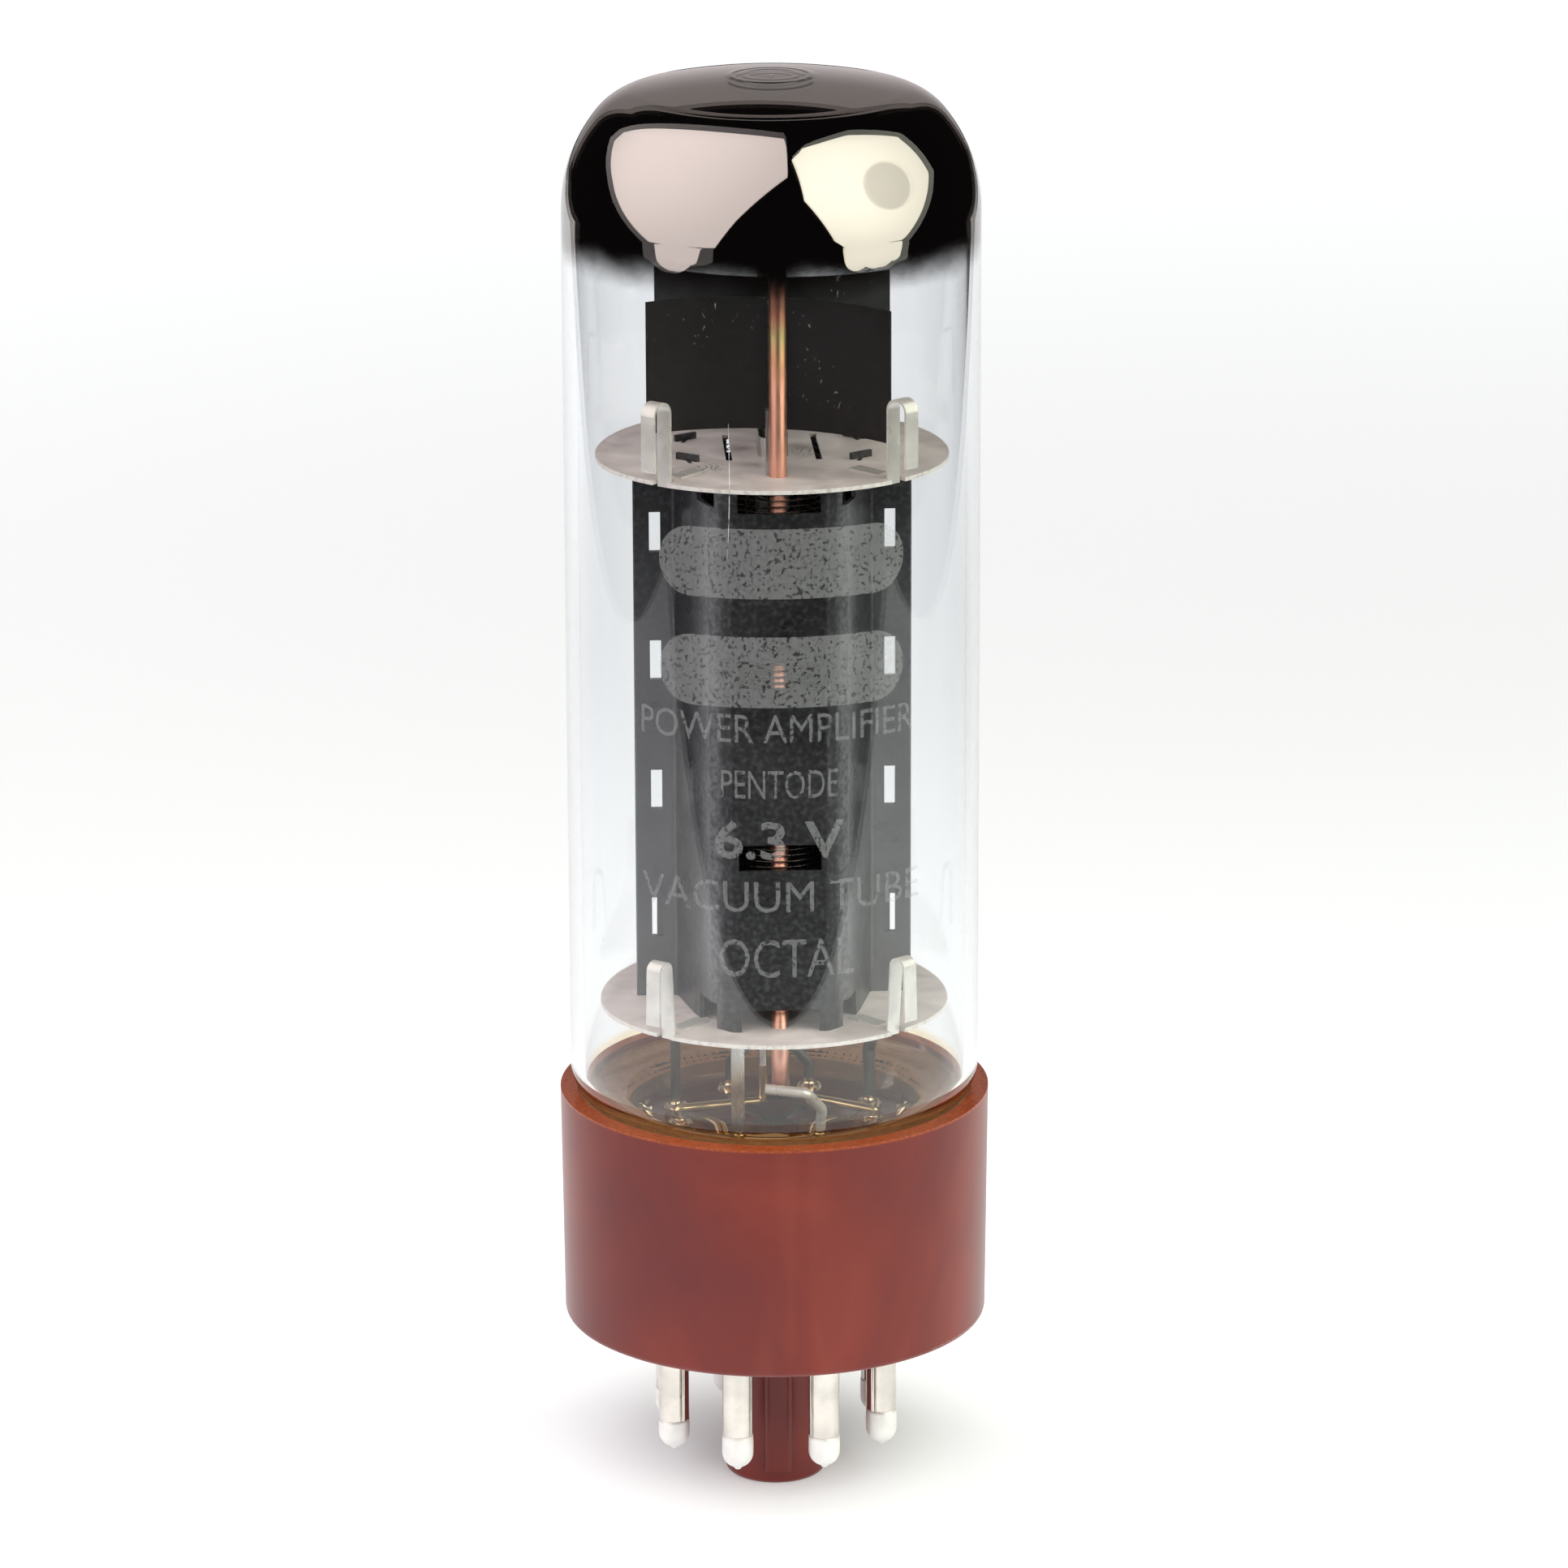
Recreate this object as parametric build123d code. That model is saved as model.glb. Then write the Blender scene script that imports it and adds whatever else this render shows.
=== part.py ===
from build123d import *

import math
import os

# Vacuum tube (beam-power pentode class) on an eight-pin octal base.
# Millimetres, +Z up, the locating key faces -Y, z = 0 is the foot of the locating post.

# Octal base and its pins
PIN_COUNT = 8
PIN_CIRCLE_RADIUS = 17.45 / 2
PIN_RADIUS = 1.18
PIN_BORE = 0.88
PIN_TIP_Z = 3.1
PIN_TUBE_Z = 4.3
PIN_TOP_Z = 17.5
PIN_COLLAR_RADIUS = 1.75
PIN_COLLAR_HEIGHT = 0.5
SOLDER_PLUG_Z = 6.0
SEAT_Z = 13.5
FLOOR_THICKNESS = 2.0
POST_RADIUS = 3.93
POST_BORE = 2.75
POST_CLOSED_Z = 1.2
KEY_WIDTH = 2.1
KEY_REACH = 4.6
KEY_BOTTOM_Z = 1.3
BASE_BOTTOM_RADIUS = 16.3
BASE_RIM_RADIUS = 16.5
BASE_RIM_Z = 31.8
BASE_WALL = 1.3

# Glass envelope: straight wall, a foot that turns in, and a three-arc dome
BULB_RADIUS = 15.7
GLASS_WALL = 1.05
BULB_TOP_Z = 110.6
FOOT_RADIUS = 4.0
FOOT_Z = 34.0
SKIRT_RADIUS = 11.3
SKIRT_ANGLE = 40.0
SHOULDER_RADIUS = 5.2
CROWN_RADIUS = 49.0
MOULD_RING_RADIUS = 3.0
MOULD_RING_BEAD = 0.22
FLASH_THICKNESS = 0.04
FLASH_EDGE_Z = 97.8

# Button stem, its wires and the exhaust tube
STEM_TOP_Z = 28.8
STEM_THICKNESS = 2.2
STEM_FLAT_RADIUS = 10.0
STEM_WIRE_CIRCLE = 8.2
STEM_WIRE_RADIUS = 0.4
STEM_WIRE_TOP_Z = 29.7
STEM_BEAD_RADIUS = 0.95
STEM_BEAD_HEIGHT = 0.6
EXHAUST_RADIUS = 2.2
EXHAUST_BORE = 1.3
EXHAUST_TIP_Z = 5.5
EXHAUST_NECK_Z = 9.5
CEMENT_BOTTOM_Z = 28.2
CEMENT_TOP_Z = 31.2

# Mica spacers
MICA_RADIUS = 13.34
MICA_THICKNESS = 0.3
UPPER_MICA_Z = 82.1
LOWER_MICA_Z = 39.2
MICA_SLOT_X = 3.35
MICA_SLOT_WIDTH = 0.5
MICA_SLOT_FRONT_Y = -3.6
MICA_SLOT_BACK_Y = 4.8
FIT = 0.02

# Spring clips that centre the mica in the glass
CLIP_ANGLES = {UPPER_MICA_Z: (40.5, 37.5), LOWER_MICA_Z: (40.5, 35.0)}
CLIP_WIDTH = 1.2
CLIP_THICKNESS = 0.16
CLIP_INNER_R = 12.75
CLIP_OUTER_R = 14.5
CLIP_SLOT_R = 11.6
CLIP_TAB_R = 8.8
CLIP_RISE = 5.2
CLIP_FREE_END = 1.05
CLIP_SPLAY = {UPPER_MICA_Z: 0.0, LOWER_MICA_Z: 0.35}

# Anode: two folded sheets joined at their side flanges
SHEET = 0.3
FLANGE_TIP_X = 10.4
FLANGE_ROOT_X = 7.3
ANODE_SIDE = (6.1, 4.9)
ANODE_CORNER = (5.0, 8.3)
ANODE_FACE_X = 3.5
ANODE_FACE_Y = 9.95
WINDOW_WIDTH = 6.1
WINDOW_HEIGHT = 2.0
WINDOW_Z = (67.1, 52.9)
FACE_TOP_Z = 79.5
FACE_BOTTOM_Z = 40.9
FOOT_INNER_X = 2.9
FOOT_OUTER_X = 4.7
CORNER_NOTCH = 2.0
FLANGE_SLOT = (0.85, 3.1)
FLANGE_SLOT_X = 8.9
FLANGE_SLOT_Z = (75.85, 65.85, 55.65, 45.5)
CRIMPED_SLOT_WIDTH = 0.42
CRIMPED_SLOT_X = 9.15
LOCK_TAB_XY = (6.45, 3.3)
LOCK_TAB_WIDTH = 1.9
LOCK_TAB_STANDOFF = 0.5
LOCK_TAB_TWIST = 42.0

# Electrodes, from the outside in
SUPPRESSOR_ROD_Y = 8.7
SUPPRESSOR_ROD_RADIUS = 0.65
SUPPRESSOR_ROD_Z = (34.1, 100.65)
SUPPRESSOR_HALF_WIDTH = 5.5
SUPPRESSOR_END_ARC = 3.9
SCREEN_ROD_Y = 6.4
SCREEN_ROD_RADIUS = 0.5
SCREEN_ROD_Z = (36.4, 84.0)
SCREEN_HALF_WIDTH = 3.9
SCREEN_END_ARC = 2.6
CONTROL_ROD_Y = 4.2
CONTROL_ROD_RADIUS = 0.5
CONTROL_ROD_Z = (36.4, 94.4)
CONTROL_HALF_WIDTH = 2.0
CONTROL_END_ARC = 1.1
WINDING_WIRE_RADIUS = 0.06
WINDING_PITCH = 2.7
WINDING_Z = (40.6, 81.2)
CATHODE_HALF_WIDTH = 1.1
CATHODE_HALF_DEPTH = 3.1
CATHODE_WALL = 0.07
CATHODE_Z = (36.8, 83.6)
COATING_THICKNESS = 0.08
COATING_Z = (43.0, 79.0)
HEATER_RADIUS = 0.24
HEATER_LEG_Y = (-2.1, -0.7, 0.7, 2.1)
HEATER_FOLD_Z = (41.0, 79.0)
HEATER_END = (0.95, 1.5, 33.8)

# Blackened cooling fins on the control-grid rods
FIN_RADIUS = 14.0
FIN_HALF_SPAN = 40.0
FIN_THICKNESS = 0.25
FIN_Z = (84.5, 94.5)
FIN_FRONT_TURN = -14.0
FIN_BACK_TURN = -8.0

# Getters inside the dome
GETTER_RING_RADIUS = 3.4
GETTER_WIRE_RADIUS = 0.55
GETTER_RING_Z = 102.0
GETTER_RING_Y = 5.6
STRAP_WIDTH = 1.2
STRAP_THICKNESS = 0.15
STRAP_OVERLAP = 1.35

# Lead wires below the lower mica
LEAD_RADIUS = 0.4
ANODE_LEAD_RADIUS = 0.5
ANODE_LEAD_XY = (8.1, 0.82)
LEAD_BEND = 0.8
STRIP_WIDTH = 1.0


def pin_angle(number):
    """Plan angle in degrees of an octal pin, counted from the key."""
    return -90 + 360 / PIN_COUNT * (number - 0.5)


def on_circle(radius, angle, z=0.0):
    """Point on a vertical cylinder, angle in degrees."""
    a = math.radians(angle)
    return (radius * math.cos(a), radius * math.sin(a), z)


def rod(x, y, z_range, radius):
    """Vertical round rod between two heights."""
    height = z_range[1] - z_range[0]
    return Pos(x, y, z_range[0]) * extrude(Circle(radius), height)


def block(x_range, y_range, z_range):
    """Box given by its limits, used for cuts and straight tabs."""
    size = [hi - lo for lo, hi in (x_range, y_range, z_range)]
    corner = (x_range[0], y_range[0], z_range[0])
    return Pos(*corner) * Box(*size, align=(Align.MIN, Align.MIN, Align.MIN))


def turned(edges):
    """Solid of revolution about Z of a closed profile drawn in the XZ plane."""
    return revolve(make_face(Wire(edges)), Axis.Z)


def bent_wire(points, radius, bend=LEAD_BEND):
    """Round wire that follows a path with rounded corners."""
    path = FilletPolyline(*points, radius=bend)
    section = Plane(origin=path @ 0, z_dir=path % 0) * Circle(radius)
    return sweep(section, path=path)


def sheet_section(points, thickness, bend):
    """Face of constant thickness along a folded line in the XY plane."""
    line = FilletPolyline(*points, radius=bend)
    outline = Wire(line.edges()).offset_2d(thickness / 2, kind=Kind.INTERSECTION, side=Side.BOTH)
    return make_face(outline)


def pair(shape):
    """A shape at the front and its mirror image at the back."""
    return [shape, mirror(shape, Plane.XZ)]


# Octal base


def base_shell():
    """Moulded cup with the hollow keyed locating post."""
    inner_bottom = BASE_BOTTOM_RADIUS - BASE_WALL
    inner_rim = BASE_RIM_RADIUS - BASE_WALL
    floor_top = SEAT_Z + FLOOR_THICKNESS
    profile = make_face(
        Polyline(
            (0, 0, 0),
            (POST_RADIUS, 0, 0),
            (POST_RADIUS, 0, SEAT_Z),
            (BASE_BOTTOM_RADIUS, 0, SEAT_Z),
            (BASE_RIM_RADIUS, 0, BASE_RIM_Z),
            (inner_rim, 0, BASE_RIM_Z),
            (inner_bottom, 0, floor_top),
            (POST_BORE, 0, floor_top),
            (POST_BORE, 0, POST_CLOSED_Z),
            (0, 0, POST_CLOSED_Z),
            close=True,
        )
    )
    cup = revolve(profile, Axis.Z)
    edges = cup.edges().filter_by(GeomType.CIRCLE)
    cup = fillet(edges.filter_by(lambda e: abs(e.center().Z) < 0.01), 0.6)
    outer = [
        e
        for e in cup.edges().filter_by(GeomType.CIRCLE)
        if abs(e.center().Z - SEAT_Z) < 0.01 and e.radius > BASE_BOTTOM_RADIUS - 0.1
    ]
    cup = fillet(outer, 0.5)
    half_key = KEY_WIDTH / 2
    key = block((-half_key, half_key), (-KEY_REACH, -POST_BORE - 0.4), (KEY_BOTTOM_Z, SEAT_Z))
    key = fillet(key.edges().filter_by(Axis.Z).group_by(Axis.Y)[0], 0.45)
    shell = cup + key
    for number in range(1, PIN_COUNT + 1):
        x, y, _ = on_circle(PIN_CIRCLE_RADIUS, pin_angle(number))
        shell -= rod(x, y, (SEAT_Z - 1, floor_top + 1), PIN_RADIUS)
    return shell


def base_pin(number):
    """Hollow contact pin with the collar that rests on the base floor."""
    x, y, _ = on_circle(PIN_CIRCLE_RADIUS, pin_angle(number))
    floor_top = SEAT_Z + FLOOR_THICKNESS
    body = rod(x, y, (PIN_TUBE_Z, PIN_TOP_Z), PIN_RADIUS)
    body += rod(x, y, (floor_top, floor_top + PIN_COLLAR_HEIGHT), PIN_COLLAR_RADIUS)
    return body - rod(x, y, (PIN_TUBE_Z - 1, PIN_TOP_Z + 1), PIN_BORE)


def pin_solder():
    """Rounded solder tips that close the pins and hold the stem wires."""
    tips = []
    for number in range(1, PIN_COUNT + 1):
        x, y, _ = on_circle(PIN_CIRCLE_RADIUS, pin_angle(number))
        cap = rod(x, y, (PIN_TIP_Z, PIN_TUBE_Z), PIN_RADIUS)
        low_edge = cap.edges().filter_by(GeomType.CIRCLE).group_by(Axis.Z)[0]
        cap = fillet(low_edge, 1.0)
        tips.append(cap + rod(x, y, (PIN_TUBE_Z, SOLDER_PLUG_Z), PIN_BORE))
    return tips


def base_cement():
    """Ring of cement between the glass foot and the base wall."""
    wall_top = BASE_RIM_RADIUS - BASE_WALL - 0.06
    foot_x = BULB_RADIUS - FOOT_RADIUS
    top_r = foot_x + math.sqrt(FOOT_RADIUS**2 - (FOOT_Z - CEMENT_TOP_Z) ** 2)
    mid = math.radians(-65)
    ring = [
        Line((foot_x, 0, CEMENT_BOTTOM_Z), (wall_top - 0.04, 0, CEMENT_BOTTOM_Z)),
        Line((wall_top - 0.04, 0, CEMENT_BOTTOM_Z), (wall_top, 0, CEMENT_TOP_Z)),
        Line((wall_top, 0, CEMENT_TOP_Z), (top_r, 0, CEMENT_TOP_Z)),
        ThreePointArc(
            (top_r, 0, CEMENT_TOP_Z),
            (foot_x + FOOT_RADIUS * math.cos(mid), 0, FOOT_Z + FOOT_RADIUS * math.sin(mid)),
            (foot_x, 0, FOOT_Z - FOOT_RADIUS),
        ),
        Line((foot_x, 0, FOOT_Z - FOOT_RADIUS), (foot_x, 0, CEMENT_BOTTOM_Z)),
    ]
    return turned(ring)


# Glass envelope


def arc_in_xz(centre, radius, start, end):
    """Arc in the XZ plane between two angles in degrees."""
    points = []
    for angle in (start, (start + end) / 2, end):
        a = math.radians(angle)
        points.append((centre[0] + radius * math.cos(a), 0, centre[1] + radius * math.sin(a)))
    return ThreePointArc(*points)


def dome_centres():
    """Centres of the skirt, shoulder and crown arcs and the angle where the crown starts."""
    a = math.radians(SKIRT_ANGLE)
    skirt_x = BULB_RADIUS - SKIRT_RADIUS
    reach = SKIRT_RADIUS - SHOULDER_RADIUS
    shoulder_x = skirt_x + reach * math.cos(a)
    crown_angle = math.acos(shoulder_x / (CROWN_RADIUS - SHOULDER_RADIUS))
    crown_z = BULB_TOP_Z - CROWN_RADIUS
    shoulder_z = crown_z + (CROWN_RADIUS - SHOULDER_RADIUS) * math.sin(crown_angle)
    skirt_z = shoulder_z - reach * math.sin(a)
    return (skirt_x, skirt_z), (shoulder_x, shoulder_z), (0, crown_z), math.degrees(crown_angle)


def dome_arcs(inset):
    """Dome profile from the straight wall up to the axis, moved inwards by inset."""
    skirt, shoulder, crown, crown_angle = dome_centres()
    return [
        arc_in_xz(skirt, SKIRT_RADIUS - inset, 0, SKIRT_ANGLE),
        arc_in_xz(shoulder, SHOULDER_RADIUS - inset, SKIRT_ANGLE, crown_angle),
        arc_in_xz(crown, CROWN_RADIUS - inset, crown_angle, 90),
    ]


def envelope_arcs(inset):
    """Whole envelope profile from the turned-in foot up to the axis."""
    foot = arc_in_xz((BULB_RADIUS - FOOT_RADIUS, FOOT_Z), FOOT_RADIUS - inset, -90, 0)
    dome = dome_arcs(inset)
    return [foot, Line(foot @ 1, dome[0] @ 0)] + dome


def glass_bulb():
    """Blown envelope with the ring left by the mould on its crown."""
    outer = envelope_arcs(0)
    inner = envelope_arcs(GLASS_WALL)
    closed = outer + inner + [Line(outer[-1] @ 1, inner[-1] @ 1), Line(outer[0] @ 0, inner[0] @ 0)]
    bulb = turned(closed)
    crown_z = BULB_TOP_Z - CROWN_RADIUS
    ring_z = crown_z + math.sqrt(CROWN_RADIUS**2 - MOULD_RING_RADIUS**2)
    return bulb + Pos(0, 0, ring_z - 0.05) * Torus(MOULD_RING_RADIUS, MOULD_RING_BEAD)


def getter_flash():
    """Metallic film condensed on the inside of the dome."""
    skirt, _, _, _ = dome_centres()
    outer = dome_arcs(GLASS_WALL)
    inner = dome_arcs(GLASS_WALL + FLASH_THICKNESS)
    edge_out = (BULB_RADIUS - GLASS_WALL, 0, FLASH_EDGE_Z)
    edge_in = (BULB_RADIUS - GLASS_WALL - FLASH_THICKNESS, 0, FLASH_EDGE_Z)
    if skirt[1] > FLASH_EDGE_Z:
        outer.insert(0, Line(edge_out, outer[0] @ 0))
        inner.insert(0, Line(edge_in, inner[0] @ 0))
    closed = outer + inner + [Line(outer[-1] @ 1, inner[-1] @ 1), Line(outer[0] @ 0, inner[0] @ 0)]
    return turned(closed)


def glass_stem():
    """Moulded button that closes the foot, with a glass bead around every wire."""
    rim_r = BULB_RADIUS - FOOT_RADIUS
    rim_low = FOOT_Z - FOOT_RADIUS
    rim_high = rim_low + GLASS_WALL
    bottom_z = STEM_TOP_Z - STEM_THICKNESS
    profile = Polyline(
        (EXHAUST_RADIUS, 0, STEM_TOP_Z),
        (STEM_FLAT_RADIUS, 0, STEM_TOP_Z),
        (rim_r, 0, rim_high),
        (rim_r, 0, rim_low),
        (STEM_FLAT_RADIUS + 0.4, 0, bottom_z),
        (EXHAUST_RADIUS, 0, bottom_z),
        close=True,
    )
    button = revolve(make_face(profile), Axis.Z)
    for number in range(1, PIN_COUNT + 1):
        x, y, _ = on_circle(STEM_WIRE_CIRCLE, pin_angle(number))
        button += rod(x, y, (STEM_TOP_Z, STEM_TOP_Z + STEM_BEAD_HEIGHT), STEM_BEAD_RADIUS)
        button += rod(x, y, (bottom_z - STEM_BEAD_HEIGHT, bottom_z), STEM_BEAD_RADIUS)
    for number in range(1, PIN_COUNT + 1):
        x, y, _ = on_circle(STEM_WIRE_CIRCLE, pin_angle(number))
        button -= rod(x, y, (bottom_z - 2, STEM_TOP_Z + 2), STEM_WIRE_RADIUS)
    return button


def exhaust_tube():
    """Sealed-off glass tube that hangs from the stem into the locating post."""
    profile = Polyline(
        (0, 0, EXHAUST_TIP_Z),
        (0.7, 0, EXHAUST_TIP_Z + 0.5),
        (EXHAUST_RADIUS, 0, EXHAUST_NECK_Z),
        (EXHAUST_RADIUS, 0, STEM_TOP_Z),
        (EXHAUST_BORE, 0, STEM_TOP_Z),
        (EXHAUST_BORE, 0, EXHAUST_NECK_Z + 0.4),
        (0, 0, EXHAUST_NECK_Z - 2.0),
        close=True,
    )
    return revolve(make_face(profile), Axis.Z)


def stem_wires():
    """Eight wires sealed in the stem that run down to the pin tips."""
    wires = []
    for number in range(1, PIN_COUNT + 1):
        angle = pin_angle(number)
        path = [
            on_circle(PIN_CIRCLE_RADIUS, angle, SOLDER_PLUG_Z),
            on_circle(PIN_CIRCLE_RADIUS, angle, PIN_TOP_Z + 2),
            on_circle(STEM_WIRE_CIRCLE, angle, PIN_TOP_Z + 5),
            on_circle(STEM_WIRE_CIRCLE, angle, STEM_WIRE_TOP_Z),
        ]
        wires.append(bent_wire(path, STEM_WIRE_RADIUS))
    return wires


# Mica spacers and spring clips


def clip_angles(top_z):
    """Plan angles of the four clips of one spacer."""
    front, back = CLIP_ANGLES[top_z]
    return [-90 - front, -90 + front, 90 - back, 90 + back]


def clip_openings(top_z):
    """Rim notches and slots through which the clips pass the mica."""
    half = CLIP_WIDTH / 2 + 0.08
    low, high = top_z - MICA_THICKNESS - 1, top_z + 1
    notch = block((CLIP_INNER_R - CLIP_THICKNESS / 2 - FIT, MICA_RADIUS + 1), (-half, half), (low, high))
    gap = CLIP_THICKNESS / 2 + FIT
    slot = block((CLIP_SLOT_R - gap, CLIP_SLOT_R + gap), (-half, half), (low, high))
    return [Rot(0, 0, angle) * cut for angle in clip_angles(top_z) for cut in (notch, slot)]


def lock_tab_angle(side_x, side_y):
    """Direction of the anode side panel, seen from above, in one quarter."""
    run_x = (FLANGE_ROOT_X - ANODE_SIDE[0]) * side_x
    run_y = -ANODE_SIDE[1] * side_y
    return math.degrees(math.atan2(run_y, run_x))


def lock_tab_slot(side_x, side_y, top_z):
    """Slot for one anode locking tab."""
    x, y = LOCK_TAB_XY[0] * side_x, LOCK_TAB_XY[1] * side_y
    tool = Box(LOCK_TAB_WIDTH + 2 * FIT, SHEET + 2 * FIT, 2)
    return Pos(x, y, top_z) * (Rot(0, 0, lock_tab_angle(side_x, side_y)) * tool)


def mica(top_z):
    """One spacer with all the openings that hold the electrodes."""
    low = top_z - MICA_THICKNESS
    plate = rod(0, 0, (low, top_z), MICA_RADIUS)
    through = (low - 1, top_z + 1)
    cuts = clip_openings(top_z)
    cuts += [lock_tab_slot(sx, sy, top_z) for sx in (-1, 1) for sy in (-1, 1)]
    for y, radius in (
        (SUPPRESSOR_ROD_Y, SUPPRESSOR_ROD_RADIUS),
        (SCREEN_ROD_Y, SCREEN_ROD_RADIUS),
        (CONTROL_ROD_Y, CONTROL_ROD_RADIUS),
    ):
        cuts += [rod(0, side * y, through, radius + FIT) for side in (-1, 1)]
    cathode = SlotOverall(2 * CATHODE_HALF_DEPTH + 2 * FIT, 2 * CATHODE_HALF_WIDTH + 2 * FIT, rotation=90)
    cuts.append(Pos(0, 0, low - 1) * extrude(cathode, 3))
    half = MICA_SLOT_WIDTH / 2
    for side in (-1, 1):
        x_range = (side * MICA_SLOT_X - half, side * MICA_SLOT_X + half)
        cuts.append(block(x_range, (MICA_SLOT_FRONT_Y, MICA_SLOT_BACK_Y), through))
    return plate, cuts


def mica_upper():
    """Upper spacer."""
    plate, cuts = mica(UPPER_MICA_Z)
    return plate - cuts


def mica_lower():
    """Lower spacer, which the anode lead also passes."""
    plate, cuts = mica(LOWER_MICA_Z)
    x, y = ANODE_LEAD_XY
    cuts.append(rod(x, y, (LOWER_MICA_Z - 2, LOWER_MICA_Z + 2), ANODE_LEAD_RADIUS + FIT))
    return plate - cuts


def spring_clips(top_z):
    """Four hairpin springs of nickel strip that wrap the rim and press on the glass."""
    above = CLIP_THICKNESS / 2
    below = -MICA_THICKNESS - CLIP_THICKNESS / 2
    top_in = CLIP_INNER_R + CLIP_SPLAY[top_z]
    top_out = CLIP_OUTER_R - CLIP_SPLAY[top_z] / 3
    bend_r = (top_out - top_in) / 2
    foot = Polyline(
        (CLIP_TAB_R, above),
        (CLIP_SLOT_R, above),
        (CLIP_SLOT_R, below),
        (CLIP_INNER_R, below),
        (CLIP_INNER_R, above),
        (top_in, CLIP_RISE),
    )
    loop = ThreePointArc(
        (top_in, CLIP_RISE),
        (top_in + bend_r, CLIP_RISE + bend_r),
        (top_out, CLIP_RISE),
    )
    leg = Line((top_out, CLIP_RISE), (CLIP_OUTER_R, CLIP_FREE_END))
    path = Wire(foot.edges() + loop.edges() + leg.edges())
    outline = path.offset_2d(CLIP_THICKNESS / 2, kind=Kind.INTERSECTION, side=Side.BOTH)
    strip = extrude(make_face(outline), CLIP_WIDTH / 2, both=True)
    upright = Rot(90, 0, 0) * strip
    return [Pos(0, 0, top_z) * (Rot(0, 0, angle) * upright) for angle in clip_angles(top_z)]


# Anode


def lock_tab(side_x, side_y, top_z):
    """Tab that passes the mica and is twisted to lock it, at one corner."""
    x, y = LOCK_TAB_XY[0] * side_x, LOCK_TAB_XY[1] * side_y
    angle = lock_tab_angle(side_x, side_y)
    outward = 1 if top_z == UPPER_MICA_Z else -1
    inner_face = top_z - MICA_THICKNESS if outward > 0 else top_z
    outer_face = top_z if outward > 0 else top_z - MICA_THICKNESS
    low, high = sorted((inner_face - 0.4 * outward, outer_face))
    neck = Box(LOCK_TAB_WIDTH, SHEET, high - low)
    neck = Pos(x, y, (low + high) / 2) * (Rot(0, 0, angle) * neck)
    twist = LOCK_TAB_TWIST * side_x * side_y
    head = Box(LOCK_TAB_WIDTH, SHEET, LOCK_TAB_STANDOFF)
    head_z = outer_face + outward * LOCK_TAB_STANDOFF / 2
    return neck + Pos(x, y, head_z) * (Rot(0, 0, angle + twist) * head)


def anode_half(side_y):
    """One folded and carbonised sheet, side_y is -1 for the front and 1 for the back."""
    half = SHEET / 2
    quarter = [
        (FLANGE_TIP_X, half),
        (FLANGE_ROOT_X, half),
        ANODE_SIDE,
        ANODE_CORNER,
        (ANODE_FACE_X, ANODE_FACE_Y - half),
    ]
    left = [(-x, side_y * y) for x, y in quarter]
    right = [(x, side_y * y) for x, y in reversed(quarter)]
    bottom, top = LOWER_MICA_Z, UPPER_MICA_Z - MICA_THICKNESS
    section = sheet_section(left + right, SHEET, 0.5)
    half_shell = Pos(0, 0, bottom) * extrude(section, top - bottom)
    face = sorted((side_y * (ANODE_FACE_Y - 1.5), side_y * (ANODE_FACE_Y + 1)))
    cuts = []
    for z in WINDOW_Z:
        window_z = (z - WINDOW_HEIGHT / 2, z + WINDOW_HEIGHT / 2)
        cuts.append(block((-WINDOW_WIDTH / 2, WINDOW_WIDTH / 2), face, window_z))
    cuts.append(block((-WINDOW_WIDTH / 2, WINDOW_WIDTH / 2), face, (FACE_TOP_Z, top + 1)))
    cuts.append(block((-FOOT_INNER_X, FOOT_INNER_X), face, (bottom - 1, FACE_BOTTOM_Z)))
    corner = sorted((side_y * (ANODE_SIDE[1] + 1.2), side_y * (ANODE_CORNER[1] + 0.9)))
    for side_x in (-1, 1):
        reach = sorted((side_x * FOOT_OUTER_X, side_x * (FOOT_OUTER_X + 3)))
        cuts.append(block(reach, corner, (bottom - 1, bottom + CORNER_NOTCH)))
        cuts.append(block(reach, corner, (top - CORNER_NOTCH, top + 1)))
        cuts += flange_slots(side_x, side_y)
    solid = half_shell - cuts
    for side_x in (-1, 1):
        solid += lock_tab(side_x, side_y, UPPER_MICA_Z)
        solid += lock_tab(side_x, side_y, LOWER_MICA_Z)
    return solid


def flange_slots(side_x, side_y):
    """Joining slots of one flange; the back sheet covers most of the lowest one."""
    slots = []
    for z in FLANGE_SLOT_Z:
        covered = side_y > 0 and z == FLANGE_SLOT_Z[-1]
        width = CRIMPED_SLOT_WIDTH if covered else FLANGE_SLOT[0]
        x = side_x * (CRIMPED_SLOT_X if covered else FLANGE_SLOT_X)
        z_range = (z - FLANGE_SLOT[1] / 2, z + FLANGE_SLOT[1] / 2)
        slots.append(block((x - width / 2, x + width / 2), (-1, 1), z_range))
    return slots


# Grids, cathode and heater


def grid_rods(y, z_range, radius):
    """Front and back side rods of one grid."""
    return [rod(0, side * y, z_range, radius) for side in (-1, 1)]


def oval_path(half_width, half_depth, end_arc):
    """Closed oval of four tangent arcs, long way along Y, in the XY plane."""
    side_arc = (half_width**2 + (half_depth - end_arc) ** 2 - end_arc**2) / (2 * (half_width - end_arc))
    end_y = half_depth - end_arc
    angle = math.degrees(math.atan2(end_y, side_arc - half_width))
    offset = side_arc - half_width
    return Wire(
        [
            CenterArc((-offset, 0), side_arc, -angle, 2 * angle),
            CenterArc((0, end_y), end_arc, angle, 180 - 2 * angle),
            CenterArc((offset, 0), side_arc, 180 - angle, 2 * angle),
            CenterArc((0, -end_y), end_arc, 180 + angle, 180 - 2 * angle),
        ]
    )


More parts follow.
